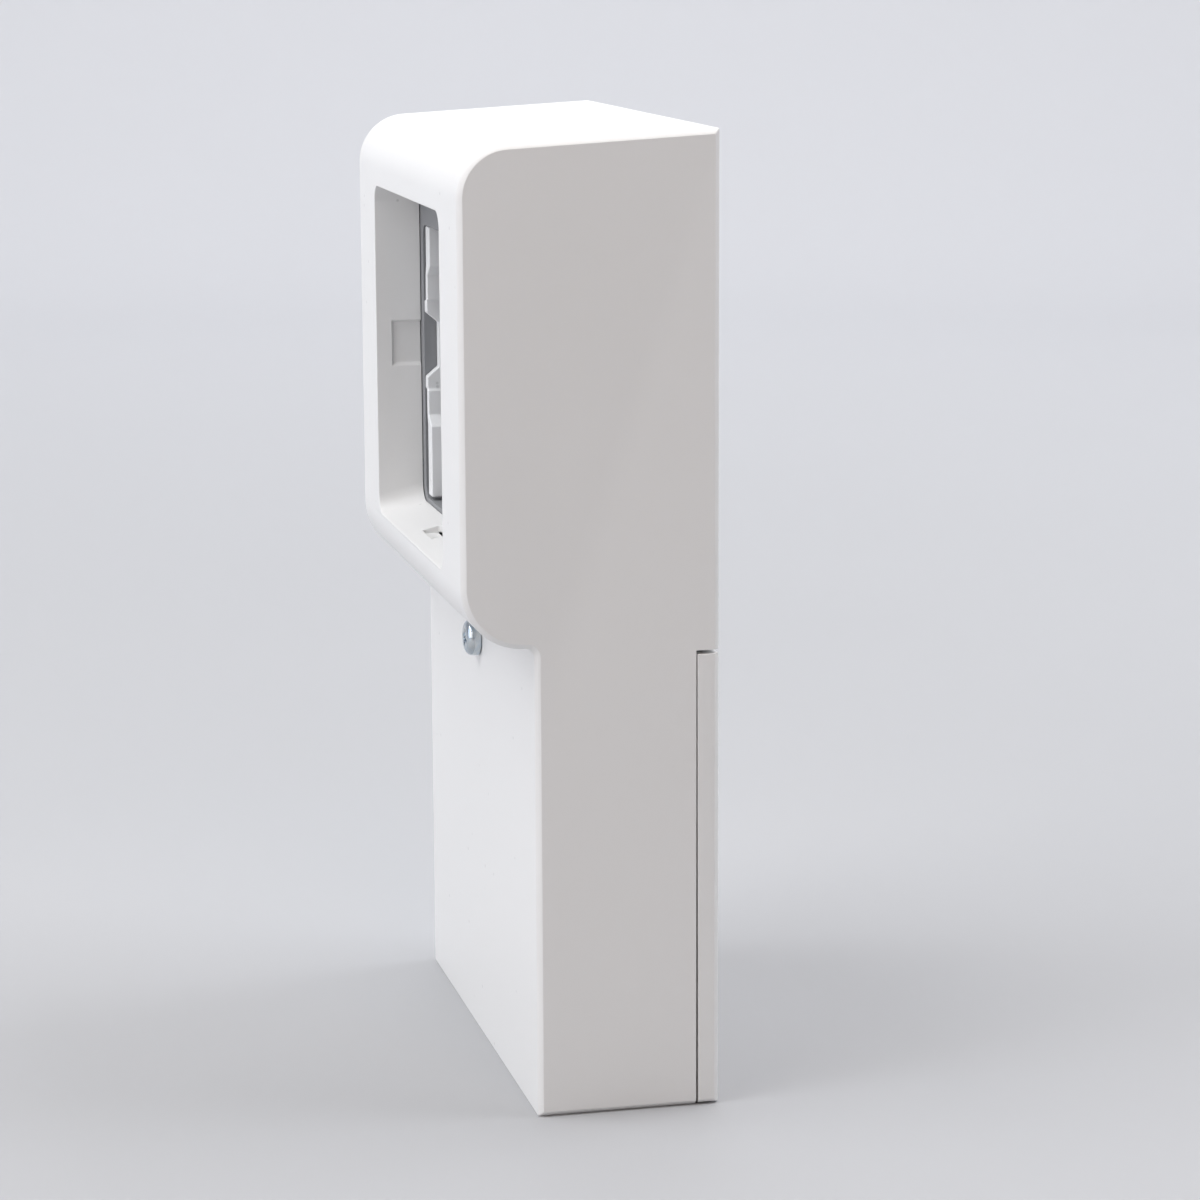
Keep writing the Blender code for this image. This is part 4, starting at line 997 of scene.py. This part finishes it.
    def cover(self) -> None:
        """Make the service cover, whose tabs hang in the slot under the head."""
        face = self.seam + GAP
        front = ((face, self.cover_top), (face + 0.35, self.cover_lift))
        back = self.rear + OVER
        keep = [*front, (back, self.cover_lift), (back, self.cover_top)]
        wide = 2 * self.half
        shape = self.whole().keep(Shape.prism(keep, Axis.X, -wide, wide))
        skin = self.cover_skin
        reach = self.half - skin
        levels = (skin + self.cover_lift, self.cover_top - skin)
        shape.cut(Shape.box((-reach, reach), (self.seam - OVER, self.rear - skin), levels))
        tab_back = self.rear - self.bridge - 2 * GAP
        tab_half, tab = self.tab
        for x in (-self.half / 2, self.half / 2):
            heights = (self.cover_top - skin - OVER, self.column_height - GAP)
            shape.join(Shape.box((x - tab_half, x + tab_half), (tab_back - tab, tab_back), heights))
        half, tall, top = self.rib
        depth = (self.rear - skin - tall, self.rear - skin + OVER)
        for x in self.ribs:
            shape.join(Shape.box((x - half, x + half), depth, (self.rib_foot, top)))
        within = reach + 0.1
        hidden = ((-within, within), (face + 0.1, self.rear - skin), (-OVER, self.height))
        finish, body = Finishes.white_plastic, "rear_cover_body"
        piece = Piece("service_cover", finish, body, ("rear_cover",), 0.3, 3, hidden, 1.0)
        piece.build(shape)

    def build(self) -> None:
        """Make both mouldings."""
        self.shell()
        self.cover()


@dataclass
class PanScrew:
    """The column's cross-head pan screw with a rolled thread."""

    radius: float = 3.0
    head: float = 6.0
    rise: float = 4.6
    length: float = 12.0
    pitch: float = 1.0
    cross: Triple = (6.6, 1.25, 3.4)

    def build(self) -> None:
        """Make the screw in place of its CAD node."""
        low, high = node_box("column_screw")
        centre = ((low[0] + high[0]) / 2, (low[2] + high[2]) / 2)
        under = low[1] + self.rise
        section = [(1.9, high[1]), (self.radius - 0.35, high[1] - 0.9)]
        steps = int((self.length - 2.2) / self.pitch)
        for step in range(steps):
            start = high[1] - 1.1 - step * self.pitch
            section += [(self.radius, start), (self.radius, start - 0.15 * self.pitch)]
            section += [(self.radius - 0.45, start - 0.55 * self.pitch)]
        section += [(self.radius - 0.2, under + 0.3), (self.radius, under)]
        section += [(self.head - 0.35, under), (self.head, under - 0.35)]
        dome = self.rise - 2.1
        flat = self.head - dome
        rim = low[1] + dome
        section += [(flat + u, rim - v) for u, v in arc((0.0, 0.0), dome, 0.0, 90.0, 12)]
        section += [(flat * 0.5, low[1])]
        shape = Shape.turned(Axis.Y, centre, section, 64)
        long, wide, deep = self.cross
        for turn in (0.0, 90.0, 45.0, 135.0):
            minor = turn in (45.0, 135.0)
            size = (0.62 * long, 0.35, 0.5) if minor else (long, wide, deep)
            spin = Matrix.Rotation(math.radians(turn + 18.0), 4, "Y")
            place = Matrix.Translation((centre[0], 0.0, centre[1])) @ spin
            rings = []
            for y, share in ((low[1] - 0.4, 1.0), (low[1] + size[2], 0.42 if not minor else 0.8)):
                half_u, half_v = share * size[0] / 2, share * size[1] / 2
                corners = ((-1, -1), (1, -1), (1, 1), (-1, 1))
                rings.append([place @ Vector((u * half_u, y, v * half_v)) for u, v in corners])
            shape.cut(Shape(rings))
        finish, body = Finishes.zinc_plated_steel, "column_screw_body"
        Piece("pan_screw", finish, body, ("column_screw",), edge=0.12, segments=2).build(shape)


@dataclass
class GlandNut:
    """Domed clamping nut with grip ribs."""

    grips: int = 24
    bore: float = 7.5

    def build(self) -> None:
        """Make the nut in place of its CAD node."""
        low, high = node_box("gland_nut")
        centre = ((low[0] + high[0]) / 2, (low[1] + high[1]) / 2)
        outer = min(high[0] - low[0], high[1] - low[1]) / 2
        base, top = low[2], high[2]
        section = [(self.bore + 1.2, base), (outer - 2.6, base + 0.8), (outer - 0.9, base + 3.2)]
        section += [(outer - 0.5, base + 5.0), (outer - 0.5, top)]
        shape = Shape.turned(Axis.Z, centre, section, 72)
        for index in range(self.grips):
            angle = 2 * math.pi * index / self.grips
            place = (
                centre[0] + (outer - 0.3) * math.cos(angle),
                centre[1] + (outer - 0.3) * math.sin(angle),
            )
            shape.cut(Shape.cylinder(Axis.Z, place, 0.75, (base + 3.8, top + OVER), 10))
        shape.cut(
            Shape.cylinder(Axis.Z, centre, self.bore, (base - OVER, top + OVER), 48),
            Shape.cylinder(Axis.Z, centre, 10.3, (base + 3.0, top + OVER), 48),
        )
        finish, body = Finishes.black_plastic, "gland_nut_body"
        Piece("clamping_nut", finish, body, ("gland_nut",), edge=0.08, segments=2).build(shape)


@dataclass
class BoardParts:
    """Small parts on the rear of the column's board, between the blocks of the frame."""

    capacitors: tuple[Point, ...] = ((13.0, 74.0), (25.5, 74.0), (13.0, 61.5))
    discs: tuple[Point, ...] = ((-6.0, 84.0), (4.0, 84.0), (14.0, 84.0))
    chips: tuple[Point, ...] = ((40.0, 75.0), (56.0, 70.0))

    def build(self) -> None:
        """Make capacitors, surge discs, chips and a pin header."""
        _, board = node_box("power_board")
        face = board[1]
        for index, centre in enumerate(self.capacitors, 1):
            section = [(4.6, face + 0.1), (5.0, face + 0.6), (5.0, face + 1.6), (4.7, face + 2.0)]
            section += [(5.0, face + 2.5), (5.0, face + 15.2)]
            section += [(4.5, face + 15.9), (2.0, face + 15.9)]
            shape = Shape.turned(Axis.Y, centre, section, 40)
            for size in ((5.0, 0.5), (0.5, 5.0)):
                ends = [(middle - s / 2, middle + s / 2) for middle, s in zip(centre, size)]
                shape.cut(Shape.box(ends[0], (face + 15.6, face + 17.0), ends[1]))
            name = f"capacitor_{index}"
            Piece(name, Finishes.component_blue, edge=0.1, segments=2).build(shape)
        for index, (x, z) in enumerate(self.discs, 1):
            section = [(3.2, x - 1.6), (3.9, x - 1.1), (3.9, x + 1.1), (3.2, x + 1.6)]
            shape = Shape.turned(Axis.X, (face + 5.4, z), section, 28)
            for side in (-2.0, 2.0):
                lead = Shape.cylinder(Axis.Y, (x, z + side), 0.4, (face + 0.05, face + 3.2), 10)
                shape.join(lead)
            Piece(f"surge_disc_{index}", Finishes.lever_orange, edge=0.1, segments=2).build(shape)
        for index, (x, z) in enumerate(self.chips, 1):
            shape = Shape.box((x - 3.6, x + 3.6), (face + 0.4, face + 2.0), (z - 3.6, z + 3.6))
            for step in range(6):
                along = -2.75 + 1.1 * step
                for side in (-1, 1):
                    ends = sorted((x + 3.2 * side, x + 4.9 * side))
                    foot = (z + along - 0.25, z + along + 0.25)
                    shape.join(Shape.box(ends, (face + 0.1, face + 0.6), foot))
            shape.cut(Shape.cylinder(Axis.Y, (x - 2.3, z + 2.3), 0.5, (face + 1.8, face + 3.0), 12))
            name = f"driver_chip_{index}"
            Piece(name, Finishes.black_plastic, edge=0.08, segments=2).build(shape)
        header = Shape.box((34.0, 62.0), (face + 0.1, face + 2.6), (82.0, 85.0))
        for step in range(10):
            x = 35.3 + 2.54 * step
            header.join(Shape.box((x - 0.32, x + 0.32), (face + 2.0, face + 8.4), (83.2, 83.8)))
        Piece("pin_header", Finishes.black_plastic, edge=0.06, segments=2).build(header)


@dataclass
class CarriedOver:
    """CAD nodes whose shape is right: each gets rounded edges and its finish."""

    edges: dict[str, float] = field(
        default_factory=lambda: {
            "bay_cradle": 0.4,
            "bay_panel": 0.3,
            "lid": 0.45,
            "socket_body": 0.4,
            "socket_core": 0.3,
            "base_plate": 0.15,
            "back_plate": 0.2,
            "lid_spring": 0.0,
            "lid_seal": 0.15,
        }
    )
    usual: float = 0.12
    whole: tuple[str, ...] = ("bay_panel", "base_plate", "back_plate")

    def tidy(self, node: bpy.types.Object, whole: bool) -> None:
        """Join split points and, unless the node is to stay whole, drop edges inside flat faces.

        Args:
            node: the node's object.
            whole: whether its flat faces stay as they are.
        """
        weld = node.modifiers.new("weld", "WELD")
        weld.merge_threshold = 0.002 * MM
        if not whole:
            flat = node.modifiers.new("flat", "DECIMATE")
            flat.decimate_type = "DISSOLVE"
            flat.angle_limit = math.radians(0.5)

    def build(self) -> None:
        """Dress every node that is still shown."""
        slots = {part["node"]: part["material_slot"] for part in frame["record"]["subparts"]}
        for name, node in frame["nodes"].items():
            if node.hide_render:
                continue
            finish = Finishes[slots[name]].value.material()
            if not node.material_slots:
                node.data.materials.append(finish)
            for holder in node.material_slots:
                holder.material = finish
            if "custom_normal" in node.data.attributes:
                node.data.attributes.remove(node.data.attributes["custom_normal"])
            node.data.shade_smooth()
            self.tidy(node, name in self.whole)
            round_off(node, self.edges.get(name, self.usual), 2, "ANGLE")
            log.info("node %s: %s", name, slots[name])


# Stage.
@dataclass(frozen=True)
class Lamp:
    """One square soft box: where it stands, how wide it is, its watts, its colour and its aim."""

    name: str
    place: Triple
    size: float
    power: float
    colour: Colour
    aim: Triple = (0.0, 0.0, 0.16)


@dataclass
class Studio:
    """Pale sweep with painted light towards its far floor and wall, soft lights and the camera."""

    azimuth: float = 76.864
    elevation: float = 10.879
    roll: float = -0.2576
    place: Triple = (1.1104, -0.2360, 0.3644)
    lens: float = 105.857
    sweep_start: float = 2.2
    sweep_radius: float = 0.8
    sweep_height: float = 3.2
    # Where the painted light on the cove fades in, in metres from the post, and how much paler it
    # paints the paper.
    far: Point = (0.3, 2.6)
    far_tone: float = 1.75
    floor_colour: Colour = (0.434, 0.438, 0.45)
    air_colour: Colour = (0.93, 0.95, 1.0)
    air_strength: float = 0.04
    lamps: tuple[Lamp, ...] = (
        Lamp("overhead", (0.0, 0.0, 1.8), 1.6, 8.0, (1.0, 0.97, 0.93)),
        Lamp("above_front", (0.0, -0.9, 1.6), 1.2, 18.5, (0.97, 0.985, 1.0)),
        Lamp("above_rear", (0.0, 1.1, 1.6), 1.2, 20.5, (0.94, 0.96, 1.0)),
        Lamp("front", (0.1, -1.7, 0.7), 1.3, 7.5, (0.85, 0.9, 1.0)),
        Lamp("front_corner", (1.0, -1.5, 0.8), 1.2, 5.5, (1.0, 0.93, 0.87)),
        Lamp("camera_side", (1.6, 0.1, 1.7), 1.0, 3.2, (1.0, 0.6, 0.3)),
        Lamp("backdrop", (-1.7, 0.4, 2.4), 2.0, 27.0, (0.96, 0.97, 1.0), (-2.3, 0.54, 0.0)),
    )

    def sweep(self) -> None:
        """Make the floor and the backdrop as one round cove."""
        start, radius = self.sweep_start, self.sweep_radius
        profile = [(0.001, 0.0), (0.3, 0.0), (start, 0.0)]
        profile += [(start + u, radius + v) for u, v in arc((0.0, 0.0), radius, -90.0, 0.0, 24)][1:]
        profile.append((start + radius, self.sweep_height))
        sheet = bmesh.new()
        rows = [
            [sheet.verts.new((x, y, z)) for x, y in circle((0.0, 0.0), reach, 96)]
            for reach, z in profile
        ]
        for one, two in zip(rows, rows[1:]):
            for index in range(len(one)):
                after = (index + 1) % len(one)
                sheet.faces.new((one[index], one[after], two[after], two[index]))
        sheet.faces.new(rows[0])
        bmesh.ops.recalc_face_normals(sheet, faces=sheet.faces)
        bmesh.ops.reverse_faces(sheet, faces=sheet.faces)
        mesh = bpy.data.meshes.new("sweep")
        sheet.to_mesh(mesh)
        sheet.free()
        mesh.shade_smooth()
        mesh.materials.append(self.paper())
        made = bpy.data.objects.new("sweep", mesh)
        bpy.context.scene.collection.objects.link(made)

    def paper(self) -> bpy.types.Material:
        """Return the cove's paint, with painted light: paler away from the post on every side."""
        graph = Graph("sweep_paint")
        cloud = graph.noise(260.0, 3.0)
        colour = self.floor_colour
        base = graph.mix(cloud, shade(colour, 0.985), shade(colour, 1.015))
        away = graph.node("ShaderNodeVectorMath", {"operation": "LENGTH"}, {0: graph.place}, 1)
        # Painted light: the cove is coloured paler further from the post, standing in for light on
        # the far floor and wall.
        base = graph.mix(away.between(*self.far), base, shade(colour, self.far_tone))
        graph.feed("Base Color", base)
        graph.feed("Roughness", 0.62 + 0.1 * (cloud - 0.5))
        graph.bump(graph.noise(1.2, 2.0), 0.02)
        return graph.material

    def light(self, lamp: Lamp) -> None:
        """Add one soft box.

        Args:
            lamp: the soft box.
        """
        data = bpy.data.lights.new(lamp.name, "AREA")
        data.shape = "SQUARE"
        data.size = lamp.size
        data.energy = lamp.power
        data.color = lamp.colour
        made = bpy.data.objects.new(lamp.name, data)
        made.location = lamp.place
        towards = Vector(lamp.aim) - Vector(lamp.place)
        made.rotation_euler = towards.to_track_quat("-Z", "Y").to_euler()
        bpy.context.scene.collection.objects.link(made)

    def camera(self) -> None:
        """Add the camera at its measured place."""
        az, el, roll = (math.radians(a) for a in (self.azimuth, self.elevation, self.roll))
        back = Vector((math.sin(az) * math.cos(el), -math.cos(az) * math.cos(el), math.sin(el)))
        right = Vector((0.0, 0.0, 1.0)).cross(back).normalized()
        up = back.cross(right)
        across = math.cos(roll) * right + math.sin(roll) * up
        upward = math.cos(roll) * up - math.sin(roll) * right
        data = bpy.data.cameras.new("camera")
        data.lens = self.lens
        data.sensor_width = 36.0
        data.clip_start = 0.01
        camera = bpy.data.objects.new("camera", data)
        turn = Matrix((across, upward, back)).transposed().to_4x4()
        camera.matrix_world = Matrix.Translation(self.place) @ turn
        bpy.context.scene.collection.objects.link(camera)
        bpy.context.scene.camera = camera

    def build(self) -> None:
        """Set up the camera, the cove, the lamps and the air."""
        self.camera()
        self.sweep()
        for lamp in self.lamps:
            self.light(lamp)
        world = bpy.data.worlds.new("studio")
        world.use_nodes = True
        air = world.node_tree.nodes["Background"]
        air.inputs["Color"].default_value = (*self.air_colour, 1.0)
        air.inputs["Strength"].default_value = self.air_strength
        bpy.context.scene.world = world
        bpy.context.scene.view_settings.view_transform = "Standard"


def main() -> None:
    """Build every sub-assembly in order."""
    for part in (Studio(), Enclosure(), PanScrew(), GlandNut(), BoardParts(), CarriedOver()):
        log.info("building %s", type(part).__name__)
        part.build()


if __name__ == "__main__":
    main()
